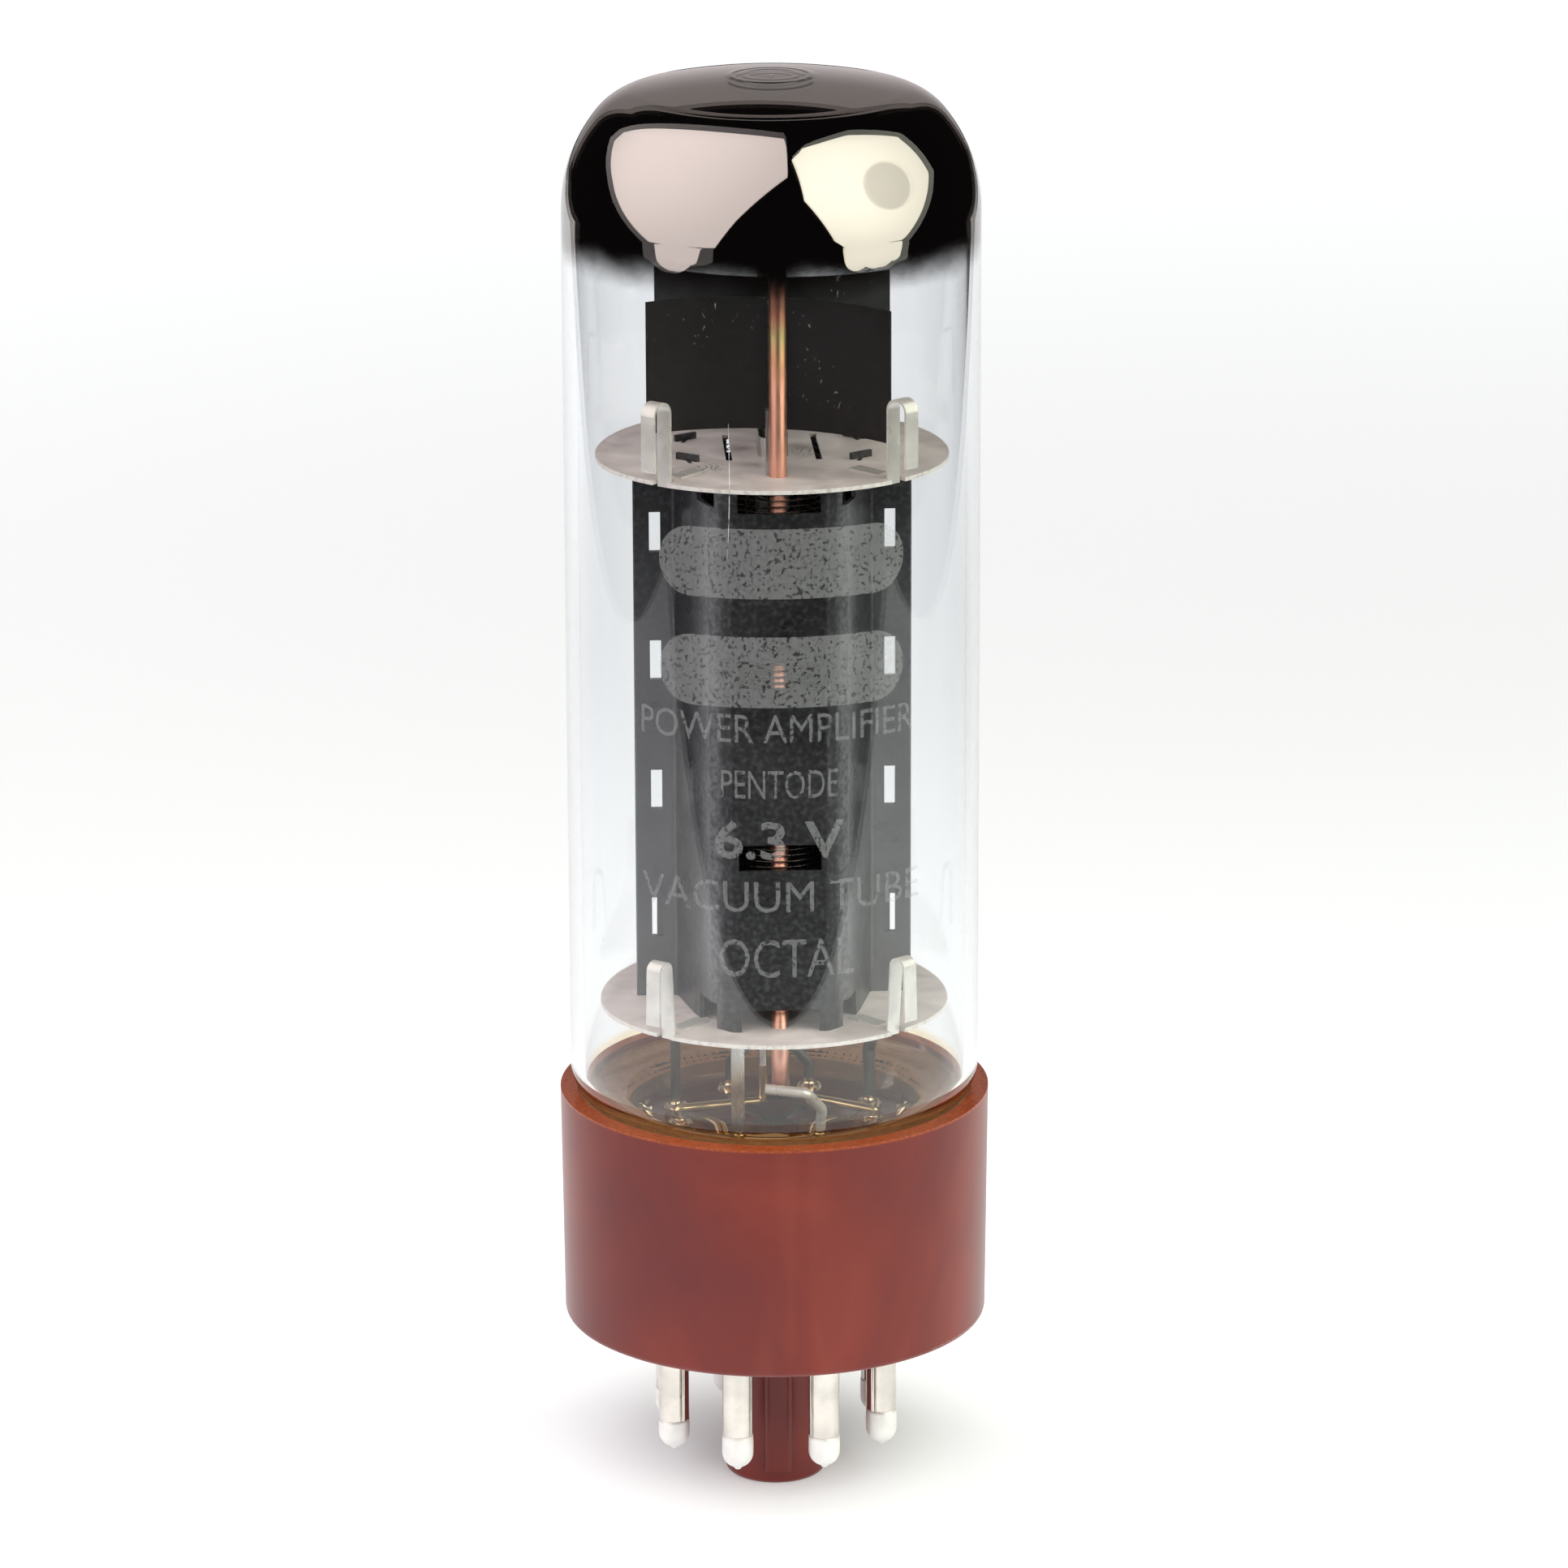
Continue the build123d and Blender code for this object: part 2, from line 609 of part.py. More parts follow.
def grid_winding(rod_y, rod_radius, half_width, end_arc):
    """Oval turns of fine wire wound around the outside of the two side rods."""
    half_depth = rod_y + rod_radius + WINDING_WIRE_RADIUS + FIT
    path = oval_path(half_width, half_depth, end_arc)
    section = Plane(origin=path @ 0, z_dir=path % 0) * Circle(WINDING_WIRE_RADIUS)
    turn = sweep(section, path=path)
    count = int((WINDING_Z[1] - WINDING_Z[0]) / WINDING_PITCH) + 1
    return [Pos(0, 0, WINDING_Z[0] + WINDING_PITCH * i) * turn for i in range(count)]


def oval_tube(half_width, half_depth, wall, z_range):
    """Upright tube of oval section."""
    outer = SlotOverall(2 * half_depth, 2 * half_width, rotation=90)
    inner = SlotOverall(2 * (half_depth - wall), 2 * (half_width - wall), rotation=90)
    return Pos(0, 0, z_range[0]) * extrude(outer - inner, z_range[1] - z_range[0])


def heater():
    """Folded heater whose two ends leave the cathode at the bottom."""
    low, high = HEATER_FOLD_Z
    first, second, third, last = HEATER_LEG_Y
    end_x, end_y, end_z = HEATER_END
    path = [
        (-end_x, -end_y, end_z),
        (-end_x, -end_y, end_z + 1.2),
        (0, first, CATHODE_Z[0] + 1.6),
        (0, first, high),
        (0, second, high),
        (0, second, low),
        (0, third, low),
        (0, third, high),
        (0, last, high),
        (0, last, CATHODE_Z[0] + 1.6),
        (end_x, end_y, end_z + 1.2),
        (end_x, end_y, end_z),
    ]
    return bent_wire(path, HEATER_RADIUS, 0.55)


def radiator(side_y, turn):
    """Curved fin welded to the inner side of one control-grid rod."""
    reach = CONTROL_ROD_RADIUS + FIN_THICKNESS / 2 + FIT
    facing = math.radians(turn)
    weld_x = side_y * math.sin(facing) * reach
    weld_y = side_y * (CONTROL_ROD_Y - math.cos(facing) * reach)
    start = -side_y * 90 - FIN_HALF_SPAN
    arc = CenterArc((0, 0), FIN_RADIUS, start, 2 * FIN_HALF_SPAN)
    outline = Wire(arc.edges()).offset_2d(FIN_THICKNESS / 2, side=Side.BOTH)
    plate = extrude(make_face(outline), FIN_Z[1] - FIN_Z[0])
    plate = Pos(0, side_y * FIN_RADIUS, FIN_Z[0]) * plate
    return Pos(weld_x, weld_y, 0) * (Rot(0, 0, turn) * plate)


# Getters


def getter_ring(side_y):
    """Ring that carried the getter metal, tilted under the dome."""
    ring = Torus(GETTER_RING_RADIUS, GETTER_WIRE_RADIUS)
    return Pos(0, side_y * GETTER_RING_Y, GETTER_RING_Z) * (Rot(side_y * -12, 0, 0) * ring)


def getter_strap(side_y):
    """Strip from the top of a suppressor-grid rod to its getter ring."""
    y = side_y * (SUPPRESSOR_ROD_Y + SUPPRESSOR_ROD_RADIUS + STRAP_THICKNESS / 2)
    half = STRAP_THICKNESS / 2
    top = GETTER_RING_Z - 1.45
    y_range = (y - half, y + half)
    return block((-STRAP_WIDTH / 2, STRAP_WIDTH / 2), y_range, (SUPPRESSOR_ROD_Z[1] - STRAP_OVERLAP, top))


# Leads between the stem wires and the electrodes


def stem_point(number, z):
    """Point above the stem wire of a pin."""
    return on_circle(STEM_WIRE_CIRCLE, pin_angle(number), z)


def lead_suppressor_grid():
    """Thick lead from the front copper rod to pin 1."""
    y = -SUPPRESSOR_ROD_Y - SUPPRESSOR_ROD_RADIUS - LEAD_RADIUS
    x, foot_y, _ = stem_point(1, 0)
    return bent_wire(
        [
            (-1.2, y, 34.6),
            (1.9, y, 34.2),
            (x, foot_y - 0.6, 32.4),
            (x, foot_y, 31.0),
            stem_point(1, STEM_WIRE_TOP_Z),
        ],
        LEAD_RADIUS,
        0.6,
    )


def lead_heater(number):
    """Lead from one end of the heater to pin 2 or pin 7."""
    side = 1 if number == 2 else -1
    x, y, z = HEATER_END
    level = 30.9 if side < 0 else 30.5
    foot_x, foot_y, _ = stem_point(number, 0)
    end_y = -y if side < 0 else y
    return bent_wire(
        [
            (side * x, end_y, z),
            (side * x, end_y, level),
            (foot_x, foot_y, level),
            (foot_x, foot_y, STEM_WIRE_TOP_Z),
        ],
        0.35,
        0.45,
    )


def lead_anode():
    """Lead from pin 3 up through the lower mica to the back flange."""
    x, y = ANODE_LEAD_XY
    return bent_wire(
        [
            stem_point(3, STEM_WIRE_TOP_Z),
            stem_point(3, 33.5),
            (x, y, 37.2),
            (x, y, LOWER_MICA_Z + 5),
        ],
        ANODE_LEAD_RADIUS,
    )


def lead_screen_grid():
    """Lead from pin 4 to the back screen-grid rod."""
    return bent_wire(
        [
            stem_point(4, STEM_WIRE_TOP_Z),
            stem_point(4, 30.9),
            (0, SCREEN_ROD_Y, 34.6),
            (0, SCREEN_ROD_Y, SCREEN_ROD_Z[0]),
        ],
        LEAD_RADIUS,
        0.6,
    )


def lead_control_grid():
    """Lead from pin 5 to the back control-grid rod."""
    return bent_wire(
        [
            stem_point(5, STEM_WIRE_TOP_Z),
            stem_point(5, 31.2),
            (0, CONTROL_ROD_Y, 34.8),
            (0, CONTROL_ROD_Y, CONTROL_ROD_Z[0]),
        ],
        LEAD_RADIUS,
        0.6,
    )


def lead_support():
    """Rod above pin 6 that steadies the lower mica."""
    x, y, _ = stem_point(6, 0)
    return rod(x, y, (STEM_WIRE_TOP_Z, LOWER_MICA_Z - MICA_THICKNESS), LEAD_RADIUS)


def lead_cathode():
    """Nickel strip from the cathode sleeve, folded down to pin 8."""
    x, y, _ = stem_point(8, 0)
    half = STRIP_WIDTH / 2
    upright = block((x - half, x + half), (y - 0.1, y + 0.1), (STEM_WIRE_TOP_Z, CATHODE_Z[0] + 0.6))
    arm_end = (-CATHODE_HALF_WIDTH + 0.25, -CATHODE_HALF_DEPTH + 0.55)
    run = math.hypot(arm_end[0] - x, arm_end[1] - y)
    angle = math.degrees(math.atan2(arm_end[1] - y, arm_end[0] - x))
    arm = block((0, run), (-half, half), (0, 0.2))
    arm = Pos(x, y, CATHODE_Z[0] - 0.2) * (Rot(0, 0, angle) * arm)
    return upright + arm


def suppressor_strap():
    """Small nickel strip beside the front copper rod on the upper mica."""
    x = -SUPPRESSOR_ROD_RADIUS - 0.12
    return block((x - 0.1, x + 0.1), (-8.4, -7.5), (UPPER_MICA_Z, UPPER_MICA_Z + 4.9))


NODES = {
    "base_shell": base_shell,
    "base_cement": base_cement,
    "pin_solder": pin_solder,
    "glass_bulb": glass_bulb,
    "glass_stem": glass_stem,
    "exhaust_tube": exhaust_tube,
    "getter_flash": getter_flash,
    "getter_ring_front": lambda: getter_ring(-1),
    "getter_ring_back": lambda: getter_ring(1),
    "getter_strap_front": lambda: getter_strap(-1),
    "getter_strap_back": lambda: getter_strap(1),
    "stem_wires": stem_wires,
    "mica_upper": mica_upper,
    "mica_lower": mica_lower,
    "spring_clips_upper": lambda: spring_clips(UPPER_MICA_Z),
    "spring_clips_lower": lambda: spring_clips(LOWER_MICA_Z),
    "anode_front": lambda: anode_half(-1),
    "anode_back": lambda: anode_half(1),
    "suppressor_grid_rods": lambda: grid_rods(SUPPRESSOR_ROD_Y, SUPPRESSOR_ROD_Z, SUPPRESSOR_ROD_RADIUS),
    "screen_grid_rods": lambda: grid_rods(SCREEN_ROD_Y, SCREEN_ROD_Z, SCREEN_ROD_RADIUS),
    "control_grid_rods": lambda: grid_rods(CONTROL_ROD_Y, CONTROL_ROD_Z, CONTROL_ROD_RADIUS),
    "suppressor_grid_winding": lambda: grid_winding(
        SUPPRESSOR_ROD_Y, SUPPRESSOR_ROD_RADIUS, SUPPRESSOR_HALF_WIDTH, SUPPRESSOR_END_ARC
    ),
    "screen_grid_winding": lambda: grid_winding(
        SCREEN_ROD_Y, SCREEN_ROD_RADIUS, SCREEN_HALF_WIDTH, SCREEN_END_ARC
    ),
    "control_grid_winding": lambda: grid_winding(
        CONTROL_ROD_Y, CONTROL_ROD_RADIUS, CONTROL_HALF_WIDTH, CONTROL_END_ARC
    ),
    "cathode_sleeve": lambda: oval_tube(CATHODE_HALF_WIDTH, CATHODE_HALF_DEPTH, CATHODE_WALL, CATHODE_Z),
    "cathode_coating": lambda: oval_tube(
        CATHODE_HALF_WIDTH + COATING_THICKNESS,
        CATHODE_HALF_DEPTH + COATING_THICKNESS,
        COATING_THICKNESS,
        COATING_Z,
    ),
    "heater": heater,
    "radiator_front": lambda: radiator(-1, FIN_FRONT_TURN),
    "radiator_back": lambda: radiator(1, FIN_BACK_TURN),
    "suppressor_strap": suppressor_strap,
    "lead_suppressor_grid": lead_suppressor_grid,
    "lead_heater_2": lambda: lead_heater(2),
    "lead_heater_7": lambda: lead_heater(7),
    "lead_anode": lead_anode,
    "lead_screen_grid": lead_screen_grid,
    "lead_control_grid": lead_control_grid,
    "lead_support": lead_support,
    "lead_cathode": lead_cathode,
}


def write(name, shape):
    """Export one node; a group of separate solids becomes one compound."""
    if isinstance(shape, list):
        shape = Compound(children=[s for part in shape for s in part.solids()])
    export_step(shape, f"parts/{name}.step")


os.makedirs("parts", exist_ok=True)
for node_name, make in NODES.items():
    write(node_name, make())
for pin_number in range(1, PIN_COUNT + 1):
    write(f"base_pin_{pin_number}", base_pin(pin_number))
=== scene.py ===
import math
import random

import bpy
from mathutils import Matrix, Vector


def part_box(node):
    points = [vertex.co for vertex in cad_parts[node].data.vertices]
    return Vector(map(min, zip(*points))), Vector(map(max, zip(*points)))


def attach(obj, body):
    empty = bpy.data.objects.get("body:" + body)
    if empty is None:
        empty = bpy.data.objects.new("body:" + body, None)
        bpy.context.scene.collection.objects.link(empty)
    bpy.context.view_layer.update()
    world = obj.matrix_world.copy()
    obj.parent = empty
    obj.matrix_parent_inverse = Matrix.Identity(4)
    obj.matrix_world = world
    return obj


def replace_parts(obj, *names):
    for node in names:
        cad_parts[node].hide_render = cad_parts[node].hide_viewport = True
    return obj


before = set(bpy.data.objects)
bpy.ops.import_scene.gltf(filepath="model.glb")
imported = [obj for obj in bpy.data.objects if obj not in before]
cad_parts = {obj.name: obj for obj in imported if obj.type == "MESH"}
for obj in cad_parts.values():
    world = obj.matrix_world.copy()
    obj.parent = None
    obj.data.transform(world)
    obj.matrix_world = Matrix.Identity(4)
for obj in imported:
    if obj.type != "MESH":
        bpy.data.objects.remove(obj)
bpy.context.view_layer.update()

MM = 0.001
random.seed(34)

# Sizes of the tube, in millimetres and in the frame of the CAD model


def box_mm(node):
    """Lowest and highest corner of a CAD node."""
    low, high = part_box(node)
    return low / MM, high / MM


BULB_RADIUS = box_mm("glass_bulb")[1].x
GLASS_WALL = 1.05
SKIRT = (11.3, 40.0)  # radius and degrees of the curve between the wall and the shoulder
SHOULDER_RADIUS = 5.2
CROWN_RADIUS = 49.0
CROWN_Z = 110.6
MOULD_RINGS = ((3.0, 0.25, 0.05), (2.2, 0.3, 0.03))  # radius, width and height of each
MOULD_RING_LOW_Z = 105  # the rings are worked out only above this height
FOOT_RADIUS = 4.0
FOOT_Z = 34.0
FLASH_SOLID_Z = 99.7
FLASH_CLEAR_Z = 96.4
FLASH_MARGIN = 0.3  # clear band of the film below its visible edge
FLASH_SUNK = 0.05  # depth of the film inside the glass
FLASH_PROUD = 0.02  # and how far it stands out of the glass

exhaust_high = box_mm("exhaust_tube")[1]
EXHAUST_RADIUS = exhaust_high.x
STEM_TOP_Z = exhaust_high.z
STEM_LOW_Z = 26.6
STEM_SEAM_RADIUS = 11.2
STEM_WIRE_CIRCLE = 8.2
BEAD_BORE = 0.42
EXHAUST_BORE = 1.3

PIN_COUNT = 8
PIN_CIRCLE = 17.45
PIN_TIP_Z = 3.05
SOLDER_RADIUS = 1.21
SOLDER_CENTRE_Z = 4.45
SOLDER_TOP_Z = (5.4, 6.2)

WINDING_Z = (40.4, 81.4)
WIRE_RADIUS = 0.05
SUPPRESSOR_OVAL = (5.5, 9.34, 3.9)  # half width, half depth and radius of the ends
SCREEN_OVAL = (3.9, 6.98, 2.6)
CONTROL_OVAL = (2.0, 4.78, 1.1)
SUPPRESSOR_PITCH = 0.45
SCREEN_PITCH = 0.9
CONTROL_PITCH = 0.6
rod_low, rod_high = box_mm("suppressor_grid_rods")
ROD_RADIUS = rod_high.x
ROD_Z = (rod_low.z, rod_high.z)
ROD_Y = 8.7

PRINT_LIFT = 0.06
BAR_LIFT = 0.03
BAR_HALF_WIDTH = 9.6
SCRATCH_TOP_Z = 87.6
SCRATCH_LENGTH = 10.4

ON_AXIS = 0.0001  # radius of a point on the axis of a turned profile
GLASS_SIDES = 256
SMALL_SIDES = 32
ROD_SIDES = 24

# Where a material changes, in millimetres

AMBER_Z = (32.6, 33.6)
BASE_CUT_RIM_Z = (31.55, 31.7)
BASE_BORE_RADIUS = (15.27, 15.2)
BASE_CAVITY_Z = (14, 15)
MICA_RIM_RADIUS = (13.2, 13.32)
MICA_SMUDGES = ((-2.3, 0.4), (2.2, 0.5))
MICA_SCORES = ((-4.9, -5.6), (2.4, -1.0))
ANODE_BEND_X = 4.95
ANODE_FLANGE_X = (7.2, 7.9)
# Heights over which the painted table reflection on the anode flanges weakens upwards
ANODE_REFLECTION_Z = (62, 80)
ROD_HEAT_Z = (82, 99)

# Scale of a metal's grain along each axis; a small value draws it out
DRAWN_GRAIN = (1, 1, 0.06)
EVEN_GRAIN = (0.06, 0.06, 0.06)

# Studio, in metres

TABLE_X = 0.28
TABLE_Y = (-0.142, 0.8)
WALL_X = 0.5
WALL_Y = 1.3
WALL_SPLIT_Z = 0.45
DOME_CENTRE = (0, 0, 0.105)
CAMERA_PLACE = (-0.0271, -0.5324, 0.2103)
CAMERA_LOOK = (0.0503, 0.9591, -0.2785)
CAMERA_ROLL = -0.19  # degrees
CAMERA_LENS = 167.0  # millimetres

# Corners of the softboxes as seen from the dome, in units of their distance from it.
# The low corners follow the curve where the dome meets the straight wall in the reflection.
LEFT_SOFTBOX = (
    (-0.82, -1.264), (-0.71, -1.2535), (-0.53, -1.2345), (-0.35, -1.2215), (-0.065, -1.2135),
    (0.12, -1.2125), (0.26, -1.2135), (0.38, -1.2165), (1.1, -0.35), (1.75, 0.2), (0.75, 1.05),
    (-0.05, 1.5), (-1.12, 0.65), (-0.9, -0.5),
)
RIGHT_SOFTBOX = (
    (-0.35, -1.1), (-0.15, -1.092), (0.06, -1.0926), (0.27, -1.0985), (0.56, -1.1235),
    (0.66, -1.13), (0.78, -0.98), (0.85, -0.05), (0.5, 0.6), (-0.45, 0.72), (-0.72, 0.3),
    (-0.92, -0.25), (-0.62, -0.72), (-0.4, -1.07),
)


# Materials


class Shade:
    """One node material with helpers that add and wire its nodes."""

    def __init__(self, name):
        self.material = bpy.data.materials.new(name)
        self.material.use_nodes = True
        self.tree = self.material.node_tree
        self.shader = self.tree.nodes["Principled BSDF"]
        self.place = self.add("ShaderNodeTexCoord").outputs["Object"]

    def add(self, kind, inputs=None, **settings):
        node = self.tree.nodes.new(kind)
        for key, value in settings.items():
            setattr(node, key, value)
        for key, value in (inputs or {}).items():
            self.put(node.inputs[key], value)
        return node

    def put(self, socket, value):
        if isinstance(value, bpy.types.NodeSocket):
            self.tree.links.new(value, socket)
        else:
            socket.default_value = value

    def set(self, **values):
        for key, value in values.items():
            self.put(self.shader.inputs[key.replace("_", " ")], value)

    def noise(self, scale, detail=3.0, distortion=0.0, stretch=(1, 1, 1)):
        place = self.add("ShaderNodeMapping", {"Vector": self.place, "Scale": stretch}).outputs[0]
        values = {"Vector": place, "Scale": scale, "Detail": detail, "Distortion": distortion}
        return self.add("ShaderNodeTexNoise", values).outputs["Fac"]

    def ramp(self, factor, *stops):
        node = self.add("ShaderNodeValToRGB", {"Fac": factor})
        ramp = node.color_ramp
        while len(ramp.elements) < len(stops):
            ramp.elements.new(0.5)
        for element, (position, colour) in zip(ramp.elements, stops):
            element.position = position
            element.color = (*colour, 1)
        return node.outputs["Color"]

    def math(self, operation, first, second=0.0):
        return self.add("ShaderNodeMath", {0: first, 1: second}, operation=operation).outputs[0]

    def range(self, value, low, high, to_low=0.0, to_high=1.0):
        values = {"Value": value, "From Min": low, "From Max": high, "To Min": to_low, "To Max": to_high}
        return self.add("ShaderNodeMapRange", values, interpolation_type="SMOOTHSTEP").outputs[0]

    def mix(self, factor, first, second):
        node = self.add("ShaderNodeMix", data_type="RGBA")
        self.put(node.inputs[0], factor)
        self.put(node.inputs[6], first if isinstance(first, bpy.types.NodeSocket) else (*first, 1))
        self.put(node.inputs[7], second if isinstance(second, bpy.types.NodeSocket) else (*second, 1))
        return node.outputs[2]

    def axis(self, index):
        return self.add("ShaderNodeSeparateXYZ", {0: self.place}).outputs[index]

    def plan(self):
        """Place with its height taken away."""
        values = {0: self.place, 1: (1, 1, 0)}
        return self.add("ShaderNodeVectorMath", values, operation="MULTIPLY").outputs[0]

    def off_axis(self):
        """Distance from the tube's axis, in metres."""
        return self.add("ShaderNodeVectorMath", {0: self.plan()}, operation="LENGTH").outputs["Value"]

    def away(self, place, spot):
        """Distance of a place from a spot, in metres."""
        return self.add("ShaderNodeVectorMath", {0: place, 1: spot}, operation="DISTANCE").outputs["Value"]

    def band(self, value, limits, to_low=0.0, to_high=1.0):
        """Range of a length between two limits in millimetres."""
        return self.range(value, limits[0] * MM, limits[1] * MM, to_low, to_high)

    def near(self, x, y, inner, outer):
        """1 close to a vertical line, 0 beyond it, in millimetres."""
        return self.band(self.away(self.plan(), (x * MM, y * MM, 0)), (outer, inner))

    def bump(self, height, strength, distance):
        values = {"Height": height, "Strength": strength, "Distance": distance * MM}
        self.put(self.shader.inputs["Normal"], self.add("ShaderNodeBump", values).outputs[0])

    def surface(self, socket):
        self.put(self.tree.nodes["Material Output"].inputs["Surface"], socket)

    def cover(self, factor):
        """Shows the shader where the factor is 1 and nothing where it is 0."""
        clear = self.add("ShaderNodeBsdfTransparent", {"Color": (1, 1, 1, 1)})
        mixed = self.add("ShaderNodeMixShader", {0: factor, 1: clear.outputs[0], 2: self.shader.outputs[0]})
        self.surface(mixed.outputs[0])

    def lamps_pass(self):
        """Lets light through the glass to what is behind it."""
        path = self.add("ShaderNodeLightPath")
        either = self.math("MAXIMUM", path.outputs["Is Shadow Ray"], path.outputs["Is Diffuse Ray"])
        clear = self.add("ShaderNodeBsdfTransparent", {"Color": (0.95, 0.96, 0.98, 1)})
        mixed = self.add("ShaderNodeMixShader", {0: either, 1: self.shader.outputs[0], 2: clear.outputs[0]})
        self.surface(mixed.outputs[0])


def glass_material():
    """Faintly blue glass, amber at the turned-in foot."""
    s = Shade("envelope_glass")
    tint = s.ramp(s.noise(60), (0.3, (0.968, 0.982, 0.998)), (0.7, (0.975, 0.987, 1.0)))
    tint = s.mix(s.band(s.axis(2), AMBER_Z, 1.0, 0.0), tint, (0.86, 0.72, 0.50))
    s.set(Base_Color=tint, Roughness=0.0, IOR=1.5, Transmission_Weight=1.0)
    s.lamps_pass()
    return s.material


def flash_material():
    """Getter mirror that thins to brown and to nothing at its ragged lower edge."""
    s = Shade("getter_film")
    ragged = s.math("ADD", s.axis(2), s.range(s.noise(350, 4.0), 0.2, 0.8, -0.0003, 0.0003))
    solid = s.band(ragged, (FLASH_CLEAR_Z, FLASH_SOLID_Z))
    film = s.ramp(solid, (0.0, (0.05, 0.03, 0.02)), (0.1, (0.20, 0.18, 0.17)), (0.35, (0.40, 0.37, 0.35)))
    s.set(Base_Color=film, Metallic=1.0, Roughness=s.range(s.noise(120), 0.3, 0.7, 0.0, 0.004))
    s.cover(solid)
    return s.material


def phenolic_material():
    """Clouded red-brown moulding with a paler cut rim and a paler cavity."""
    s = Shade("phenolic")
    body = s.ramp(
        s.noise(48, 5.0, 0.9),
        (0.32, (0.122, 0.015, 0.015)),
        (0.5, (0.165, 0.019, 0.013)),
        (0.7, (0.225, 0.030, 0.017)),
    )
    streak = s.range(s.noise(70, 3.0, 1.5, (1, 1, 0.3)), 0.55, 0.75, 0.0, 0.35)
    body = s.mix(streak, body, (0.26, 0.058, 0.032))
    cut = s.ramp(s.noise(4200, 2.0), (0.35, (0.23, 0.034, 0.007)), (0.65, (0.40, 0.078, 0.016)))
    z = s.axis(2)
    body = s.mix(s.band(z, BASE_CUT_RIM_Z), body, cut)
    inside = s.math("MULTIPLY", s.band(s.off_axis(), BASE_BORE_RADIUS), s.band(z, BASE_CAVITY_Z))
    body = s.mix(inside, body, (0.30, 0.060, 0.030))
    s.set(Base_Color=body, Roughness=s.range(s.noise(40), 0.2, 0.8, 0.27, 0.33), Specular_IOR_Level=0.35)
    return s.material


def metal_material(name, colour, roughness, grain=DRAWN_GRAIN, metallic=1.0):
    """Cloudy metal whose roughness varies a little along its grain."""
    s = Shade(name)
    streak = s.noise(4000, 2.0, stretch=grain)
    dark = [c * 0.8 for c in colour]
    s.set(Base_Color=s.mix(s.range(s.noise(500, 4.0), 0.3, 0.75), dark, colour), Metallic=metallic)
    s.set(Roughness=s.range(streak, 0.3, 0.7, roughness * 0.9, roughness * 1.1))
    return s.material


def mica_material():
    """Pearly sheet with two smudges, two scored patches and a bright edge."""
    s = Shade("mica")
    cloud = s.ramp(s.noise(260, 6.0, 0.6), (0.3, (0.50, 0.445, 0.415)), (0.7, (0.82, 0.75, 0.71)))
    smudge = s.noise(700, 3.0)
    for x, y in MICA_SMUDGES:
        spot = s.math("MULTIPLY", s.near(x, y, 0.1, 1.9), s.range(smudge, 0.2, 0.7, 0.15, 0.75))
        cloud = s.mix(spot, cloud, (0.20, 0.15, 0.11))
    lines = s.add("ShaderNodeTexWave", {"Vector": s.place, "Scale": 420.0, "Distortion": 26.0, "Detail": 2.0})
    score = s.range(lines.outputs["Fac"], 0.86, 0.97)
    for x, y in MICA_SCORES:
        patch = s.math("MULTIPLY", score, s.near(x, y, 0.5, 1.7))
        cloud = s.mix(patch, cloud, (0.10, 0.09, 0.09))
    rim = s.math("MULTIPLY", s.band(s.off_axis(), MICA_RIM_RADIUS), s.range(s.noise(2500), 0.3, 0.6))
    cloud = s.mix(rim, cloud, (0.80, 0.78, 0.72))
    s.set(Base_Color=cloud, Roughness=0.42, Specular_IOR_Level=0.45)
    s.bump(s.noise(1500, 3.0), 0.15, 0.05)
    return s.material


def carbon_material():
    """Grey-black carbon coat with a painted highlight along the bends and a painted reflection of the table
    on the flanges, stronger lower down.
    """
    s = Shade("carbonised")
    grain = s.noise(2400, 3.0)
    cloud = s.range(s.noise(260, 4.0), 0.3, 0.75, 0.75, 1.2)
    tone = s.ramp(
        grain,
        (0.32, (0.012, 0.012, 0.013)),
        (0.5, (0.024, 0.024, 0.026)),
        (0.72, (0.065, 0.065, 0.069)),
    )
    side = s.math("ABSOLUTE", s.axis(0))
    from_bend = s.math("ABSOLUTE", s.math("SUBTRACT", side, ANODE_BEND_X * MM))
    # Painted highlight: a lighter grainy band along the bends, standing in for the light their rounded
    # corners would catch.
    at_bend = s.band(from_bend, (0.1, 1.0), 1.0, 0.0)
    bend_highlight = s.math("MULTIPLY", at_bend, s.range(grain, 0.3, 0.7, 0.4, 1.0))
    # Painted reflection: the flanges are lighter and bluer lower down, where they would mirror the near part
    # of the table.
    low_down = s.band(s.axis(2), ANODE_REFLECTION_Z, 0.75, 0.1)
    flange_reflection = s.math("MULTIPLY", s.band(side, ANODE_FLANGE_X), low_down)
    tone = s.mix(flange_reflection, s.mix(bend_highlight, tone, (0.17, 0.17, 0.18)), (0.16, 0.165, 0.18))
    s.set(Base_Color=tone, Roughness=s.math("MULTIPLY", cloud, 0.36))
    s.set(Specular_IOR_Level=0.75, Metallic=0.4)
    s.bump(grain, 0.5, 0.04)
    return s.material


def fin_material():
    """Matt black coat with a few clusters of pale flecks."""
    s = Shade("blackened")
    fleck = s.range(s.noise(1700, 6.0, 2.0, (1, 1, 0.5)), 0.66, 0.71)
    cluster = s.range(s.noise(160, 2.0), 0.50, 0.60)
    tone = s.mix(s.math("MULTIPLY", fleck, cluster), (0.011, 0.010, 0.010), (0.35, 0.35, 0.34))
    s.set(Base_Color=tone, Roughness=s.range(s.noise(900), 0.3, 0.7, 0.5, 0.62), Specular_IOR_Level=0.35)
    s.bump(s.noise(3000, 2.0), 0.2, 0.03)
    return s.material


